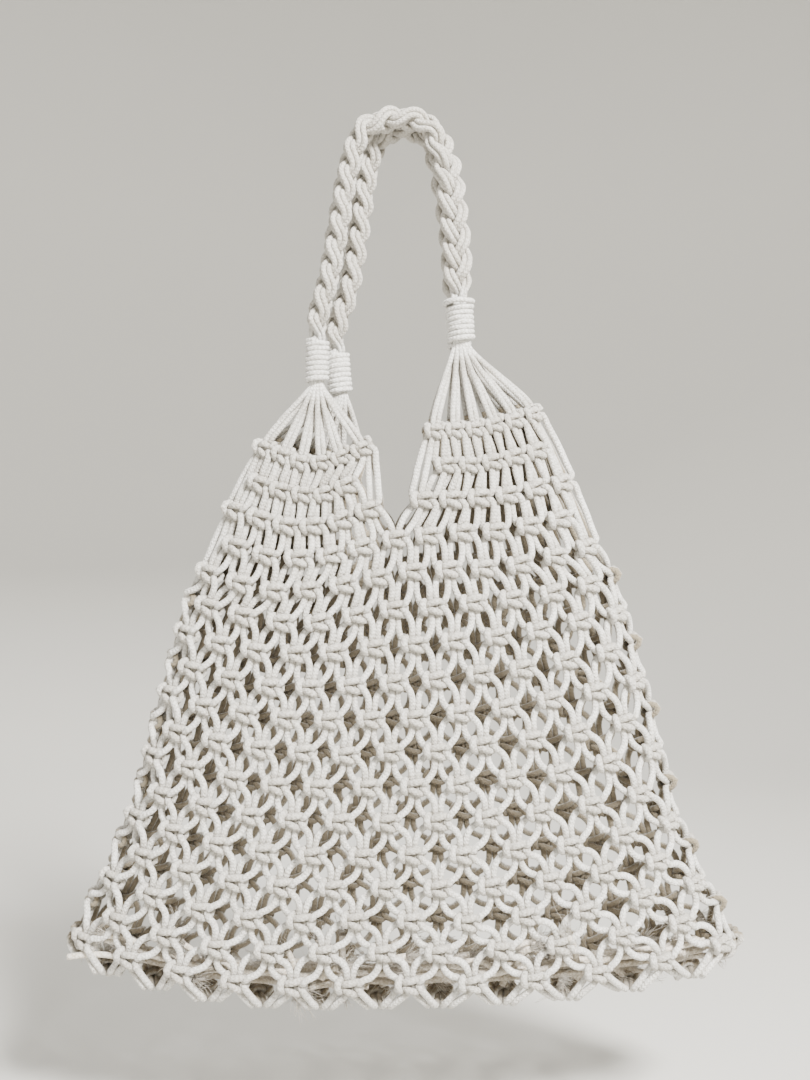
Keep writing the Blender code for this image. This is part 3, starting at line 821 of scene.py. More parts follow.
def settle(strands):
    """Pushes cords that lie in one another apart, and spreads the push along each cord."""
    rest = np.concatenate([strand.path for strand in strands])
    radius = np.concatenate([strand.radius for strand in strands])
    solid = np.concatenate([strand.radius > strand.thickness / 2 * SOFT_SIZE for strand in strands])
    strand_of = np.concatenate([np.full(len(strand.path), k) for k, strand in enumerate(strands)])
    order = np.arange(len(rest))
    before = np.where(np.roll(strand_of, 1) == strand_of, order - 1, order)
    after = np.where(np.roll(strand_of, -1) == strand_of, order + 1, order)
    before[0], after[-1] = 0, order[-1]
    moved = np.zeros_like(rest)
    for turn in range(SETTLE_ROUNDS):
        place = rest + moved
        if turn % SETTLE_LOOK == 0:
            a, b = close_pairs(place, solid, strand_of, radius.max() * SETTLE_REACH)
        apart = place[a] - place[b]
        distance = np.maximum(np.linalg.norm(apart, axis=1), SMALL)
        short = np.clip((radius[a] + radius[b]) * SETTLE_TOUCH - distance, 0, None)
        push = apart * (short / distance / 2)[:, None]
        step = np.zeros_like(rest)
        count = np.zeros(len(rest))
        np.add.at(step, a, push)
        np.add.at(step, b, -push)
        touching = (short > 0).astype(float)
        np.add.at(count, a, touching)
        np.add.at(count, b, touching)
        moved += step / np.maximum(count, 1)[:, None] * SETTLE_GAIN
        moved = moved / 2 + (moved[before] + moved[after]) / 4
    place = rest + moved
    # How crowded each point is; the materials darken crowded cord by it, a painted shade
    a, b = close_pairs(place, solid, strand_of, radius.max() * TUCK_REACH)
    crowd = np.bincount(a, minlength=len(rest)) + np.bincount(b, minlength=len(rest))
    crowd = np.clip(crowd / TUCK_CROWD, 0, 1)
    for _ in range(TUCK_SMOOTHING):
        crowd = crowd / 2 + (crowd[before] + crowd[after]) / 4
    start = 0
    for strand in strands:
        end = start + len(strand.path)
        strand.path = place[start:end]
        strand.tucked = crowd[start:end]
        start = end
    return strands


def tube_rings(strand, sides):
    """The rings of one cord, carried along without twist, with their normals and their lengths along."""
    path = strand.path
    ahead = np.gradient(path, axis=0)
    ahead /= np.maximum(np.linalg.norm(ahead, axis=1), SMALL)[:, None]
    normal = Vector(ahead[0]).orthogonal().normalized()
    normals = np.zeros_like(path)
    for k, tangent in enumerate(ahead):
        tangent = Vector(tangent)
        normal = (normal - tangent * normal.dot(tangent)).normalized()
        normals[k] = normal
    binormals = np.cross(ahead, normals)
    angles = np.linspace(0, 2 * math.pi, sides, endpoint=False)
    around = normals[:, None, :] * np.cos(angles)[None, :, None]
    around = around + binormals[:, None, :] * np.sin(angles)[None, :, None]
    rings = path[:, None, :] + around * strand.radius[:, None, None]
    return rings, around, lengths_along(path)


def stretches(owner, label):
    """The first and last index of each stretch of a cord that belongs to a piece."""
    found = []
    start = None
    for k, name in enumerate(owner):
        if name == label and start is None:
            start = k
        if name != label and start is not None:
            found.append((start, k))
            start = None
    if start is not None and start < len(owner) - 1:
        found.append((start, len(owner) - 1))
    return found


def tube_piece(context, name, strands, label=None, inward=(0, 0, 0), sides=None):
    """One mesh object of all the stretches of cord that belong to a piece. Inward points into the bag: cord
    that faces it is darkened, a painted shade.
    """
    sides = sides or context.scene.macrame_bag.cords.sides
    vertices, faces, uvs, shades, tucks, inward_painted_shades = [], [], [], [], [], []
    base = 0
    side = np.arange(sides)
    after = (side + 1) % sides
    for strand in strands:
        if label and label not in strand.owner:
            continue
        rings, normals, along = tube_rings(strand, sides)
        # How far each point faces into the bag; the materials darken it by this, a painted shade
        inward_painted_shade = np.clip(normals @ np.array(inward, float), 0, 1)
        spans = stretches(strand.owner, label) if label else [(0, len(along) - 1)]
        for start, end in spans:
            part = rings[start : end + 1]
            count = len(part)
            vertices.append(part.reshape(-1, 3))
            lower = base + (np.arange(count - 1) * sides)[:, None]
            quads = np.stack(
                [lower + side, lower + after, lower + sides + after, lower + sides + side], axis=2
            )
            faces += quads.reshape(-1, 4).tolist()
            near = np.repeat(along[start:end], sides)
            far = np.repeat(along[start + 1 : end + 1], sides)
            left = np.tile(side / sides, count - 1)
            right = np.tile((side + 1) / sides, count - 1)
            corners = np.stack([left, near, right, near, right, far, left, far], axis=1)
            uvs.append(corners.reshape(-1, 2))
            faces.append([base + k for k in reversed(range(sides))])
            faces.append([base + (count - 1) * sides + k for k in range(sides)])
            ends = np.concatenate([np.full(sides, along[start]), np.full(sides, along[end])])
            turns = np.concatenate([side[::-1] / sides, side / sides])
            uvs.append(np.stack([turns, ends], axis=1))
            shades.append(np.full(count * sides, strand.shade))
            tucks.append(np.repeat(strand.tucked[start : end + 1], sides))
            inward_painted_shades.append(inward_painted_shade[start : end + 1].ravel())
            base += count * sides
    mesh = bpy.data.meshes.new(name)
    mesh.from_pydata(np.concatenate(vertices).tolist(), [], faces)
    layer = mesh.uv_layers.new(name=CORD_UV)
    layer.data.foreach_set("uv", np.concatenate(uvs).astype(np.float32).ravel())
    for title, values in ((SHADE, shades), (TUCKED, tucks), (INSIDE, inward_painted_shades)):
        attribute = mesh.attributes.new(title, "FLOAT", "POINT")
        attribute.data.foreach_set("value", np.concatenate(values).astype(np.float32))
    mesh.shade_smooth()
    made = bpy.data.objects.new(name, mesh)
    context.scene.collection.objects.link(made)
    return made


_laid = {}


def laid(context):
    """The settled cords, worked out once."""
    bag = context.scene.macrame_bag
    if not _laid:
        strands = laid_strands(bag)
        for name in ("front", "back"):
            strands += plait_strands(bag.handles, name)
        for strand in strands:
            strand.sample(bag.cords.step)
        _laid["strands"] = settle(strands)
    return _laid["strands"]


def along_path(points, step):
    """Rows of values read at equal steps along the smooth line through the points."""
    table = np.array(points)
    stations = lengths_along(table[:, :3])
    count = max(2, round(stations[-1] / step))
    return smooth(stations, table, np.linspace(0.0, stations[-1], count + 1)), stations[-1]


def flat_axes(ahead, turn):
    """The wide and the thick axis of a plait that runs ahead, with its flat side turned by degrees."""
    wide = Vector((0, 1, 0))
    wide = (wide - wide.project(ahead)).normalized()
    thick = ahead.cross(wide)
    angle = math.radians(turn)
    return (
        wide * math.cos(angle) + thick * math.sin(angle),
        thick * math.cos(angle) - wide * math.sin(angle),
    )


Frame = namedtuple("Frame", "centre ahead wide thick distance share")


def plait_frames(handles, name):
    """The places, axes and distances along one plait. Share grows from 0 inside the wraps to 1 outside."""
    legs = [leg for leg in LEGS if leg.name.startswith(name)]
    (left, left_down), (right, right_down) = (leg_end(handles, leg) for leg in legs)
    face = legs[0].face
    line = PLAIT_SHAPE[name]
    half = handles.wrap_height / 2
    first_turn, last_turn = line[0][2], line[-1][2]
    points = [(*(left + left_down * sunk), first_turn) for sunk in (half, 0.0, -CORE_TAPER)]
    for across, rise, turn in line:
        height = PLAIT_THICKNESS / 2 + rise * handles.drop
        points.append((across * handles.spread, face * LEG_OFFSET, height, turn))
    points += [(*(right + right_down * sunk), last_turn) for sunk in (-CORE_TAPER, 0.0, half)]
    rows, length = along_path(points, PLAIT_STEP)
    centres = [Vector(row[:3]) for row in rows]
    last = len(rows) - 1
    frames = []
    for k, centre in enumerate(centres):
        ahead = (centres[min(k + 1, last)] - centres[max(k - 1, 0)]).normalized()
        wide, thick = flat_axes(ahead, rows[k][3])
        distance = length * k / last
        inside = min(distance, length - distance) - half
        share = min(max(inside / CORE_TAPER, 0.0), 1.0)
        frames.append(Frame(centre, ahead, wide, thick, distance, share * share * (3 - 2 * share)))
    return frames


def plaited_cord(handles, frames, strand_number, k_side, k_deep):
    """The way of one cord through the plait, as rows of (point, size)."""
    last = len(frames) - 1

    def swung(distance):
        phase = 2 * math.pi * (distance / handles.period + strand_number / PLAIT_STRANDS)
        return handles.swing * math.sin(phase), -handles.lift * math.sin(2 * phase)

    rows = []
    for k, (centre, ahead, wide, thick, distance, share) in enumerate(frames):
        aside, lifted = swung(distance)
        near, far = frames[max(k - 1, 0)].distance, frames[min(k + 1, last)].distance
        slope = (swung(far)[0] - swung(near)[0]) / (far - near)
        beside = thick.cross((ahead + wide * slope).normalized()).normalized()
        place = aside * wide + lifted * thick
        place += beside * (k_side * handles.cord * STRAND_WIDE / 2)
        place += thick * (k_deep * handles.cord * STRAND_DEEP / 2)
        offset = wide * (place.dot(wide) * (CORE_WIDE + (1 - CORE_WIDE) * share))
        offset += thick * (place.dot(thick) * (CORE_THICK + (1 - CORE_THICK) * share))
        rows.append((centre + offset, CORE_SIZE + (1 - CORE_SIZE) * share))
    return rows


def plait_strands(handles, name):
    """The twelve cords of one handle: three strands of four cords, and their ends inside the wraps."""
    frames = plait_frames(handles, name)
    face = -1 if name == "front" else 1
    made = []
    for strand_number in range(PLAIT_STRANDS):
        for k_side in (-1, 1):
            for k_deep in (-1, 1):
                order = (strand_number, k_side, k_deep, face)
                draw = random.Random(sum(step * k for step, k in zip(PLAIT_SEEDS, order)))
                rows = plaited_cord(handles, frames, strand_number, k_side, k_deep)
                made.append(Strand(handles.cord, draw.random()).add(rows, "handle_" + name))
    return made


def wrap_strand(handles, leg):
    """The coil of one gathering wrap, its ends tucked in under its turns."""
    top, down = leg_end(handles, leg)
    cord = handles.wrap_cord
    side = Vector((1, 0, 0))
    side = (side - side.project(down)).normalized()
    front = down.cross(side)
    draw = random.Random(leg.name)
    turns = handles.wrap_height / cord - WRAP_HIDDEN
    count = round(turns * WRAP_POINTS)
    wobble = [draw.gauss(0, 1) * WRAP_WOBBLE for _ in range(count + 1)]
    rows = []
    for k in range(count + 1):
        share = k / count
        angle = 2 * math.pi * turns * share + WRAP_START
        depth = cord / 2 + (handles.wrap_height - cord) * share + wobble[k]
        radius = leg.girth - cord / 2 + wobble[-1 - k]
        if k < 2 or k > count - 2:
            radius -= cord * WRAP_TUCK
        if leg.name == LOOSE_LEG:
            loose = math.exp(-(((share * turns - LOOSE_TURN) / LOOSE_WIDTH) ** 2))
            radius += loose * LOOSE_REACH
            depth -= loose * LOOSE_RISE
        point = top + down * depth + (side * math.cos(angle) + front * math.sin(angle)) * radius
        rows.append((point, 1.0))
    return Strand(cord, draw.random()).add(rows, "wrap_" + leg.name)


def scattered(draw):
    """A random direction with a random length of about 1."""
    return Vector((draw.gauss(0, 1), draw.gauss(0, 1), draw.gauss(0, 1)))


def frayed_brush(draw, table, root, ahead, count, length, spread, beyond):
    """A brush of thin, curly fibres."""
    ahead = ahead.normalized()
    side = ahead.orthogonal().normalized()
    other = ahead.cross(side)
    made = []
    for _ in range(count):
        angle = draw.uniform(0, 2 * math.pi)
        open_by = (side * math.cos(angle) + other * math.sin(angle)) * spread * math.sqrt(draw.random())
        aim = (ahead + open_by).normalized()
        start = root + open_by * FIBRE_ROOT
        reach = length * draw.uniform(*FIBRE_REACH)
        curl = scattered(draw) * reach * FIBRE_CURL
        rows = []
        for k in range(FIBRE_POINTS):
            t = k / (FIBRE_POINTS - 1)
            point = start + aim * reach * t + curl * t * t + scattered(draw) * FIBRE_JITTER * t
            rows.append((held_in(table, point, beyond), 1.0 - t * FIBRE_TAPER))
        strand = Strand(FIBRE, draw.random()).add(rows, "fibres")
        made.append(strand.sample(reach / (FIBRE_POINTS - 1)))
    return made


def floor_table(net):
    """Places along the bottom with the front, the back and the height of the net there."""
    table = []
    for along in np.linspace(0, 1, SECTION_SAMPLES + 1):
        front, back = (net_point(net, face, ROWS, along) for face in (-1, 1))
        table.append((front.x, front.y, back.y, front.z - net.seam))
    return np.array(table)


def held_in(table, point, beyond):
    """The point, moved back where it lies too far beyond the faces or the bottom of the net."""
    x = min(max(point.x, table[0, 0] + FIBRE_INSET), table[-1, 0] - FIBRE_INSET)
    front, back, low = (float(np.interp(x, table[:, 0], table[:, column])) for column in (1, 2, 3))
    y = min(max(point.y, front - beyond), back + beyond)
    return Vector((x, y, max(point.z, low - beyond)))


def floor_point(net, along, deep, rise):
    """A point inside the bag, above its bottom. Deep runs from 0 at the front to 1 at the back."""
    front, back = (net_point(net, face, ROWS, along) for face in (-1, 1))
    sag = net.seam * math.sin(math.pi * min(max(deep, SAG_EDGE), 1 - SAG_EDGE))
    return front.lerp(back, deep) + Vector((0, 0, rise - sag))


def lying_strands(bag):
    """The cord ends that lie inside on the bottom, the long cords laid along it, and all their fibres."""
    net, thickness = bag.net, bag.cords.thickness
    made, brushes = [], []
    table = floor_table(net)
    draw = random.Random(LAID_SEED)
    for deep, rise, start, end in LAID:
        rows = []
        for k in range(LAID_POINTS):
            along = start + (end - start) * k / (LAID_POINTS - 1)
            wave = Vector((0, draw.gauss(0, 1), draw.gauss(0, 1))) * LAID_WAVE
            rows.append((floor_point(net, along, deep, rise) + wave, 1.0))
        made.append(Strand(thickness * LAID_SIZE, draw.random()).add(rows, "laid"))
    for _ in range(LOOSE_ENDS):
        along = draw.uniform(*LOOSE_ALONG)
        deep = draw.uniform(*LOOSE_DEEP)
        lean = draw.uniform(*LOOSE_LEAN)
        root = floor_point(net, along, deep, draw.uniform(*LOOSE_ROOT))
        ahead = Vector((lean, draw.uniform(*LOOSE_FORWARD), draw.uniform(*LOOSE_UPWARD))).normalized()
        if abs(along - 0.5) > LOOSE_CORNER:
            ahead.x = abs(ahead.x) * math.copysign(1, 0.5 - along)
        length = draw.uniform(*LOOSE_LENGTH)
        bend = Vector((lean * LOOSE_BEND[0], 0.0, LOOSE_BEND[1])) * length
        rows = []
        for k in range(LOOSE_POINTS):
            t = k / (LOOSE_POINTS - 1)
            rows.append((root + ahead * length * t + bend * t * t, 1.0))
        made.append(Strand(thickness * LOOSE_SIZE, draw.random()).add(rows, "loose"))
        tip = rows[-1][0]
        heading = tip - rows[-2][0]
        length = draw.uniform(*BRUSH_LENGTH)
        brushes += frayed_brush(draw, table, tip, heading, BRUSH_FIBRES, length, BRUSH_SPREAD, FIBRE_BEYOND)
    for along, deep, count, length in TUFTS:
        root = floor_point(net, along, deep, 0.0)
        brushes += frayed_brush(draw, table, root, Vector(TUFT_AIM), count, length, TUFT_SPREAD, TUFT_BEYOND)
    return made, brushes


def group_of(name, inputs, outputs):
    """A new shader node group with named sockets."""
    group = bpy.data.node_groups.new(name, "ShaderNodeTree")
    for title, value in inputs:
        socket = group.interface.new_socket(name=title, in_out="INPUT", socket_type="NodeSocketFloat")
        socket.default_value = value
    for title, kind in outputs:
        group.interface.new_socket(name=title, in_out="OUTPUT", socket_type=kind)
    return group, group.nodes.new("NodeGroupInput"), group.nodes.new("NodeGroupOutput")


def maths(tree, operation, *values):
    """A math node fed by sockets or numbers. Returns its output."""
    node = tree.nodes.new("ShaderNodeMath")
    node.operation = operation
    for k, value in enumerate(values):
        if isinstance(value, (int, float)):
            node.inputs[k].default_value = value
        else:
            tree.links.new(value, node.inputs[k])
    return node.outputs[0]


def braid_group():
    """The relief of a round braid: strands that wind both ways round the cord and cross over one another."""
    name = "Round braid"
    if name in bpy.data.node_groups:
        return bpy.data.node_groups[name]
    inputs = (("Strands", BRAID_STRANDS), ("Pitch", BRAID_PITCH))
    group, start, end = group_of(name, inputs, (("Height", "NodeSocketFloat"), ("Groove", "NodeSocketFloat")))
    uv = group.nodes.new("ShaderNodeUVMap")
    uv.uv_map = CORD_UV
    split = group.nodes.new("ShaderNodeSeparateXYZ")
    group.links.new(uv.outputs["UV"], split.inputs[0])
    around = maths(group, "MULTIPLY", split.outputs["X"], start.outputs["Strands"])
    along = maths(group, "DIVIDE", split.outputs["Y"], start.outputs["Pitch"])
    waves = []
    for operation in ("ADD", "SUBTRACT"):
        phase = maths(group, operation, around, along)
        turn = maths(group, "MULTIPLY", phase, math.pi)
        waves.append(maths(group, "ABSOLUTE", maths(group, "SINE", turn)))
    crossing = maths(group, "SINE", maths(group, "MULTIPLY", around, 2 * math.pi))
    over = maths(group, "GREATER_THAN", crossing, 0.0)
    under = maths(group, "SUBTRACT", 1.0, over)
    first = maths(group, "MULTIPLY", waves[0], over)
    second = maths(group, "MULTIPLY", waves[1], under)
    height = maths(group, "ADD", first, second)
    group.links.new(height, end.inputs["Height"])
    group.links.new(maths(group, "SUBTRACT", 1.0, height), end.inputs["Groove"])
    return group


def cotton_group():
    """The short fibres of cotton: a fine uneven relief, and soft patches where it took up grime."""
    name = "Cotton fibres"
    if name in bpy.data.node_groups:
        return bpy.data.node_groups[name]
    inputs = (("Fibre Scale", FUZZ_SCALE), ("Patch Scale", PATCH_SCALE))
    group, start, end = group_of(name, inputs, (("Fuzz", "NodeSocketFloat"), ("Patches", "NodeSocketFloat")))
    place = group.nodes.new("ShaderNodeTexCoord")
    layers = (("Fibre Scale", "Fuzz", FUZZ_DETAIL), ("Patch Scale", "Patches", PATCH_DETAIL))
    for title, out, detail in layers:
        noise = group.nodes.new("ShaderNodeTexNoise")
        noise.inputs["Detail"].default_value = detail
        group.links.new(place.outputs["Object"], noise.inputs["Vector"])
        group.links.new(start.outputs[title], noise.inputs["Scale"])
        group.links.new(noise.outputs["Fac"], end.inputs[out])
    return group


def mix_colour(tree, fac, first, second):
    """A colour mix node fed by sockets or colours. Returns its output."""
    node = tree.nodes.new("ShaderNodeMix")
    node.data_type = "RGBA"
    for index, value in ((MIX_FACTOR, fac), (MIX_FIRST, first), (MIX_SECOND, second)):
        if isinstance(value, tuple):
            node.inputs[index].default_value = (*value, 1.0)
        else:
            tree.links.new(value, node.inputs[index])
    return node.outputs[MIX_RESULT]


def attribute_of(tree, name):
    """The value of a point attribute."""
    node = tree.nodes.new("ShaderNodeAttribute")
    node.attribute_name = name
    return node.outputs["Fac"]


def new_material(name):
    """A new material with its node tree and its shader."""
    made = bpy.data.materials.new(name)
    made.use_nodes = True
    return made, made.node_tree, made.node_tree.nodes["Principled BSDF"]


def group_node(tree, group):
    """A shader node group placed in a material."""
    node = tree.nodes.new("ShaderNodeGroup")
    node.node_tree = group
    return node


def cotton_material(name, light, dark, painted_shade, braid_depth):
    """Braided cotton: fibres and braid in relief, cords a little apart in tone, painted shade where cords
    crowd, in grooves and facing into the bag.
    """
    if name in bpy.data.materials:
        return bpy.data.materials[name]
    made, tree, shader = new_material(name)
    braid = group_node(tree, braid_group()).outputs
    fibres = group_node(tree, cotton_group()).outputs
    fleck = maths(tree, "MAXIMUM", maths(tree, "MULTIPLY_ADD", fibres["Fuzz"], FLECK_GAIN, FLECK_START), 0.0)
    tone = maths(tree, "MULTIPLY_ADD", attribute_of(tree, SHADE), SHADE_TONE, fleck)
    tone = maths(tree, "MULTIPLY_ADD", fibres["Patches"], PATCH_TONE, tone)
    colour = mix_colour(tree, tone, tuple(light), tuple(dark))
    # Painted shade: cord is darkened where it crowds other cords, in the braid's grooves and where it faces
    # into the bag
    painted_shade_mask = maths(tree, "MULTIPLY", attribute_of(tree, TUCKED), TUCKED_PAINTED_SHADE)
    painted_shade_mask = maths(tree, "MULTIPLY_ADD", braid["Groove"], GROOVE_PAINTED_SHADE, painted_shade_mask)
    painted_shade_mask = maths(tree, "MULTIPLY_ADD", attribute_of(tree, INSIDE), INSIDE_PAINTED_SHADE, painted_shade_mask)
    tree.links.new(mix_colour(tree, painted_shade_mask, colour, tuple(painted_shade)), shader.inputs["Base Color"])
    rough = maths(tree, "MULTIPLY_ADD", fibres["Fuzz"], ROUGH_SPAN, ROUGH_LEAST)
    tree.links.new(rough, shader.inputs["Roughness"])
    height = maths(tree, "MULTIPLY", braid["Height"], BRAID_RELIEF)
    height = maths(tree, "MULTIPLY_ADD", fibres["Fuzz"], FUZZ_RELIEF, height)
    bump = tree.nodes.new("ShaderNodeBump")
    bump.inputs["Strength"].default_value = 1.0
    bump.inputs["Distance"].default_value = braid_depth
    tree.links.new(height, bump.inputs["Height"])
    tree.links.new(bump.outputs["Normal"], shader.inputs["Normal"])
    shader.inputs["Sheen Weight"].default_value = SHEEN
    shader.inputs["Sheen Roughness"].default_value = SHEEN_ROUGHNESS
    shader.inputs["Specular IOR Level"].default_value = SPECULAR
    return made


def cord_finish(colours, slot):
    """The finish of the cords in one of the two material slots."""
    if slot == "cotton_cord":
        finish = ("Braided cotton", colours.cotton, colours.cotton_shade, colours.painted_shade, BRAID_DEPTH)
    else:
        finish = ("Frayed cotton", colours.frayed, colours.frayed_shade, colours.painted_shade, FRAYED_DEPTH)
    return cotton_material(*finish)


def floor_material(colour):
    """A matt, faintly mottled surface for the stage."""
    made, tree, shader = new_material("Pale floor")
    fibres = group_node(tree, cotton_group())
    fibres.inputs["Patch Scale"].default_value = FLOOR_PATCHES
    darker = tuple(channel * FLOOR_MOTTLE for channel in colour)
    tone = mix_colour(tree, fibres.outputs["Patches"], tuple(colour), darker)
    tree.links.new(tone, shader.inputs["Base Color"])
    shader.inputs["Roughness"].default_value = FLOOR_ROUGHNESS
    return made


def place_piece(context, piece, node, slot="cotton_cord"):
    """Gives a piece its finish and its body, and hides the solid that it stands for."""
    piece.data.materials.append(cord_finish(context.scene.macrame_bag.colours, slot))
    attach(piece, "root")
    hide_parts(node)


def length_setting(name, description, default):
    """A length that a user may change, in metres."""
    return FloatProperty(name=name, description=description, default=default, unit="LENGTH")


def colour_setting(name, description, default):
    """A colour that a user may change."""
    return FloatVectorProperty(
        name=name, description=description, default=default, subtype="COLOR", min=0, max=1
    )


def power_setting(name, description, default):
    """The power of a light in watts."""
    return FloatProperty(name=name, description=description, default=default, unit="POWER")


class BagCords(bpy.types.PropertyGroup):
    """The cord of the net."""

    thickness: length_setting("Cord", "Thickness of the cord", 0.004)
    step: length_setting("Step", "Length of one ring of a cord", 0.0021)
    sides: IntProperty(name="Sides", description="Sides of a cord's outline", default=8)


class BagNet(bpy.types.PropertyGroup):
    """Sizes of the hanging net."""

    width: length_setting("Width", "Between the bottom corners", 0.388)
    depth: length_setting("Depth", "Front to back near the bottom", 0.062)
    drop: length_setting("Drop", "Hanging point to the top knot", 0.170)
    height: length_setting("Height", "Top knot to the last row", 0.338)
    notch: length_setting("Notch", "Width of the V in the mouth", 0.030)
    slit: length_setting("Slit", "Half width of a side slit", 0.0045)
    seam: length_setting("Seam", "Last row to the bottom", 0.0155)


class BagHandles(bpy.types.PropertyGroup):
    """Sizes of the plaited handles and their wraps."""

    cord: length_setting("Cord", "Thickness of a plaited cord", 0.0034)
    wrap_cord: length_setting("Wrap cord", "Cord of a wrap", 0.0031)
    wrap_height: length_setting("Wrap height", "Height of a wrap", 0.028)
    drop: length_setting("Drop", "Height of the plaits", 0.126)
    spread: length_setting("Spread", "Middle to the widest end", 0.050)
    period: length_setting("Period", "Length of one full turn", 0.045)
    swing: length_setting("Swing", "Sideways swing of a strand", 0.0050)
    lift: length_setting("Lift", "Rise of a strand at a crossing", 0.0028)


class BagColours(bpy.types.PropertyGroup):
    """Colours of the cotton and the stage."""

    cotton: colour_setting("Cotton", "Clean cord", (0.90, 0.89, 0.86))
    cotton_shade: colour_setting("Cotton shade", "Cord that has greyed a little", (0.56, 0.54, 0.50))
    # The colour of the painted shade: crowded cord, the braid's grooves and cord that faces into the bag are
    # mixed towards it
    painted_shade: colour_setting("Painted_shade", "Grooves and tucked cord", (0.24, 0.20, 0.14))
    frayed: colour_setting("Frayed", "Frayed ends", (0.82, 0.77, 0.70))
    frayed_shade: colour_setting("Frayed shade", "Darker fibres", (0.54, 0.47, 0.37))
    floor: colour_setting("Floor", "Floor and backdrop", (0.63, 0.615, 0.575))


class BagStage(bpy.types.PropertyGroup):
    """Camera and lights."""

    distance: length_setting("Distance", "Camera to the handles", 0.773)
    lens: FloatProperty(name="Lens", description="Focal length", default=42.4, unit="CAMERA")
    key: power_setting("Key light", "Power of the large light", 118.0)
    rear: power_setting("Rear light", "Power of the light behind", 26.0)
    fill: power_setting("Fill light", "Power of the soft fill", 6.0)


class MacrameBag(bpy.types.PropertyGroup):
    """All settings of the bag."""

    cords: PointerProperty(type=BagCords)
    net: PointerProperty(type=BagNet)
    handles: PointerProperty(type=BagHandles)
    colours: PointerProperty(type=BagColours)
    stage: PointerProperty(type=BagStage)


class BAG_OT_net(bpy.types.Operator):
    """Lay the knotted cords of both faces"""

    bl_idname = "bag.net"
    bl_label = "Net"

    def execute(self, context):
        for face, inward in (("front", (0, 1, 0)), ("back", (0, -1, 0))):
            for strip in range(1, HALF_ROUND // STRIP_COLUMNS + 1):
                name = f"net_{face}_{strip}"
                place_piece(context, tube_piece(context, name, laid(context), name, inward), "net_" + face)
        return {"FINISHED"}


class BAG_OT_fans(bpy.types.Operator):
    """Lay the cords that spread from each wrap to the top row of knots"""

    bl_idname = "bag.fans"
    bl_label = "Fans"

    def execute(self, context):
        for leg in LEGS:
            label = "fan_" + leg.name
            place_piece(context, tube_piece(context, "cords_" + leg.name, laid(context), label), label)
        return {"FINISHED"}


class BAG_OT_bottom(bpy.types.Operator):
    """Lay the cords that turn under and the knots that close the bottom"""

    bl_idname = "bag.bottom"
    bl_label = "Bottom"

    def execute(self, context):
        piece = tube_piece(context, "bottom_cords", laid(context), "bottom", (0, 0, 1))
        place_piece(context, piece, "bottom_seam")
        return {"FINISHED"}


class BAG_OT_ends(bpy.types.Operator):
    """Lay the cord ends inside the bottom and fray them"""

    bl_idname = "bag.ends"
    bl_label = "Frayed ends"

    def execute(self, context):
        bag = context.scene.macrame_bag
        lying, brushes = lying_strands(bag)
        lying = [strand.sample(bag.cords.step) for strand in lying]
        for name, strands, sides in (("laid", lying, None), ("fibres", brushes, FIBRE_SIDES)):
            piece = tube_piece(context, "cord_ends_" + name, strands, sides=sides)
            place_piece(context, piece, "cord_ends", "frayed_cotton")
        return {"FINISHED"}


class BAG_OT_wraps(bpy.types.Operator):
    """Wind the four gathering wraps"""

    bl_idname = "bag.wraps"
    bl_label = "Wraps"

    def execute(self, context):
        for leg in LEGS:
            strand = wrap_strand(context.scene.macrame_bag.handles, leg).sample(WRAP_STEP)
            place_piece(context, tube_piece(context, "coil_" + leg.name, [strand]), "wrap_" + leg.name)
        return {"FINISHED"}


class BAG_OT_handles(bpy.types.Operator):
    """Plait the two handles"""

    bl_idname = "bag.handles"
    bl_label = "Handles"

    def execute(self, context):
        for name in ("front", "back"):
            label = "handle_" + name
            place_piece(context, tube_piece(context, "plait_" + name, laid(context), label), label)
        return {"FINISHED"}


def backdrop_mesh():
    """A round floor that curves up into an upright wall."""
    profile = []
    for k in range(COVE_STEPS + 1):
        angle = math.pi / 2 * k / COVE_STEPS
        reach = BACKDROP - COVE + COVE * math.sin(angle)
        profile.append((reach, FLOOR_HEIGHT + COVE - COVE * math.cos(angle)))
    profile.append((BACKDROP, BACKDROP_HEIGHT))
    vertices = []
    for reach, height in profile:
        for k in range(COVE_SIDES):
            angle = 2 * math.pi * k / COVE_SIDES
            vertices.append((reach * math.cos(angle), reach * math.sin(angle), height))
    faces = [tuple(range(COVE_SIDES))]
    for lower in range(0, (len(profile) - 1) * COVE_SIDES, COVE_SIDES):
        for k in range(COVE_SIDES):
            after = (k + 1) % COVE_SIDES
            faces.append((lower + after, lower + k, lower + COVE_SIDES + k, lower + COVE_SIDES + after))
    mesh = bpy.data.meshes.new("floor")
    mesh.from_pydata(vertices, [], faces)
    mesh.shade_smooth()
    return mesh


def area_light(context, name, place, size, tint):
    """A square soft light that looks at the bag. Its power is the stage's setting of the same name."""
    data = bpy.data.lights.new(name, "AREA")
    data.shape = "SQUARE"
    data.size = size
    data.energy = getattr(context.scene.macrame_bag.stage, name)
    data.color = tint
    made = bpy.data.objects.new(name, data)
    made.location = place
    made.rotation_euler = (Vector(LIGHT_AIM) - Vector(place)).to_track_quat("-Z", "Y").to_euler()
    context.scene.collection.objects.link(made)


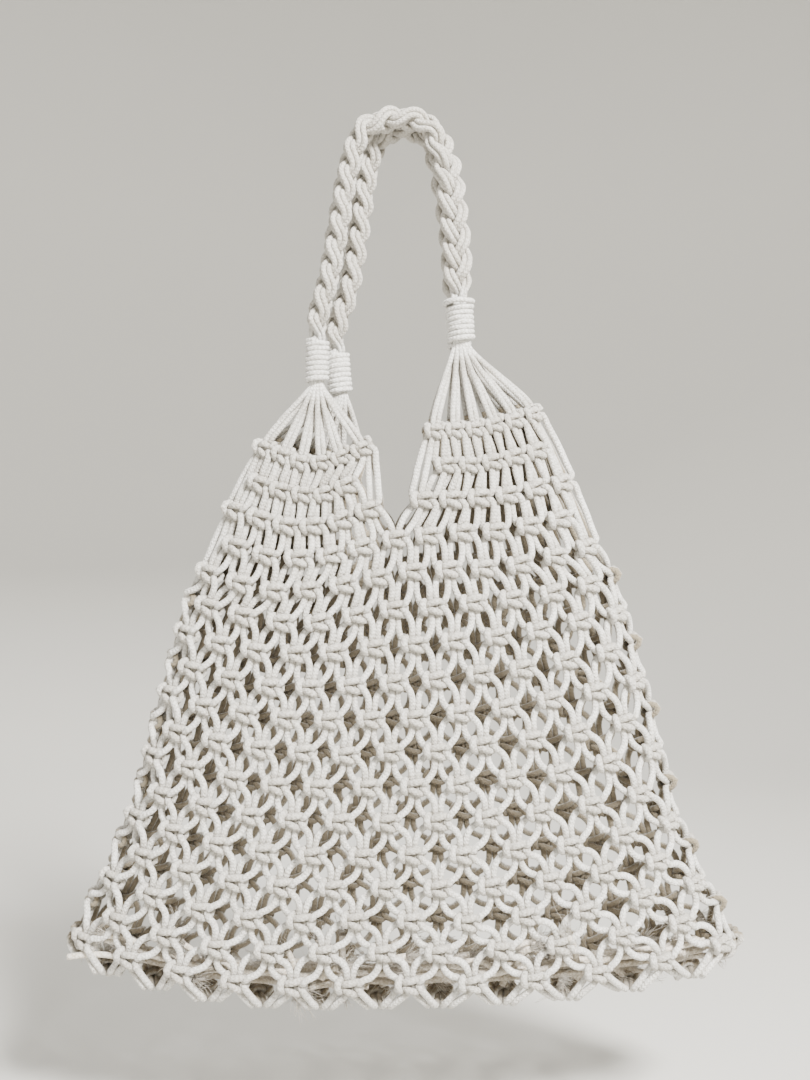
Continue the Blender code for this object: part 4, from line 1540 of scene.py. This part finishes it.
class BAG_OT_stage(bpy.types.Operator):
    """Set up the floor, the backdrop, the lights and the camera"""

    bl_idname = "bag.stage"
    bl_label = "Stage"

    def execute(self, context):
        bag = context.scene.macrame_bag
        floor = bpy.data.objects.new("floor", backdrop_mesh())
        context.scene.collection.objects.link(floor)
        floor.data.materials.append(floor_material(bag.colours.floor))
        for light in LIGHTS:
            area_light(context, *light)
        world = bpy.data.worlds.new("soft room")
        world.use_nodes = True
        background = world.node_tree.nodes["Background"]
        background.inputs["Color"].default_value = ROOM_COLOUR
        background.inputs["Strength"].default_value = ROOM_LIGHT
        context.scene.world = world
        camera = bpy.data.objects.new("camera", bpy.data.cameras.new("camera"))
        camera.data.lens = bag.stage.lens
        camera.location = (CAMERA_ACROSS, -bag.stage.distance, CAMERA_HEIGHT)
        camera.rotation_euler = (math.pi / 2, 0, 0)
        context.scene.collection.objects.link(camera)
        context.scene.camera = camera
        return {"FINISHED"}


class BAG_PT_panel(bpy.types.Panel):
    """Lists the steps that lay the bag"""

    bl_idname = "BAG_PT_panel"
    bl_label = "Macrame bag"
    bl_space_type = "VIEW_3D"
    bl_region_type = "UI"
    bl_category = "Macrame bag"

    def draw(self, context):
        bag = context.scene.macrame_bag
        for group in (bag.cords, bag.net, bag.handles, bag.colours, bag.stage):
            box = self.layout.box()
            for name in group.bl_rna.properties.keys():
                if name not in ("rna_type", "name"):
                    box.prop(group, name)
        for operator in STEPS:
            self.layout.operator(operator.bl_idname)


GROUPS = (BagCords, BagNet, BagHandles, BagColours, BagStage, MacrameBag)
STEPS = (BAG_OT_stage, BAG_OT_net, BAG_OT_fans, BAG_OT_bottom, BAG_OT_ends, BAG_OT_wraps, BAG_OT_handles)


def register():
    """Adds the settings, the operators and the panel."""
    for made in (*GROUPS, *STEPS, BAG_PT_panel):
        bpy.utils.register_class(made)
    bpy.types.Scene.macrame_bag = PointerProperty(type=MacrameBag)


def unregister():
    """Takes them away again."""
    del bpy.types.Scene.macrame_bag
    for made in reversed((*GROUPS, *STEPS, BAG_PT_panel)):
        bpy.utils.unregister_class(made)


def main():
    """Makes the bag and its stage."""
    register()
    bpy.ops.bag.stage()
    bpy.ops.bag.net()
    bpy.ops.bag.fans()
    bpy.ops.bag.bottom()
    bpy.ops.bag.ends()
    bpy.ops.bag.wraps()
    bpy.ops.bag.handles()


if __name__ == "__main__":
    main()
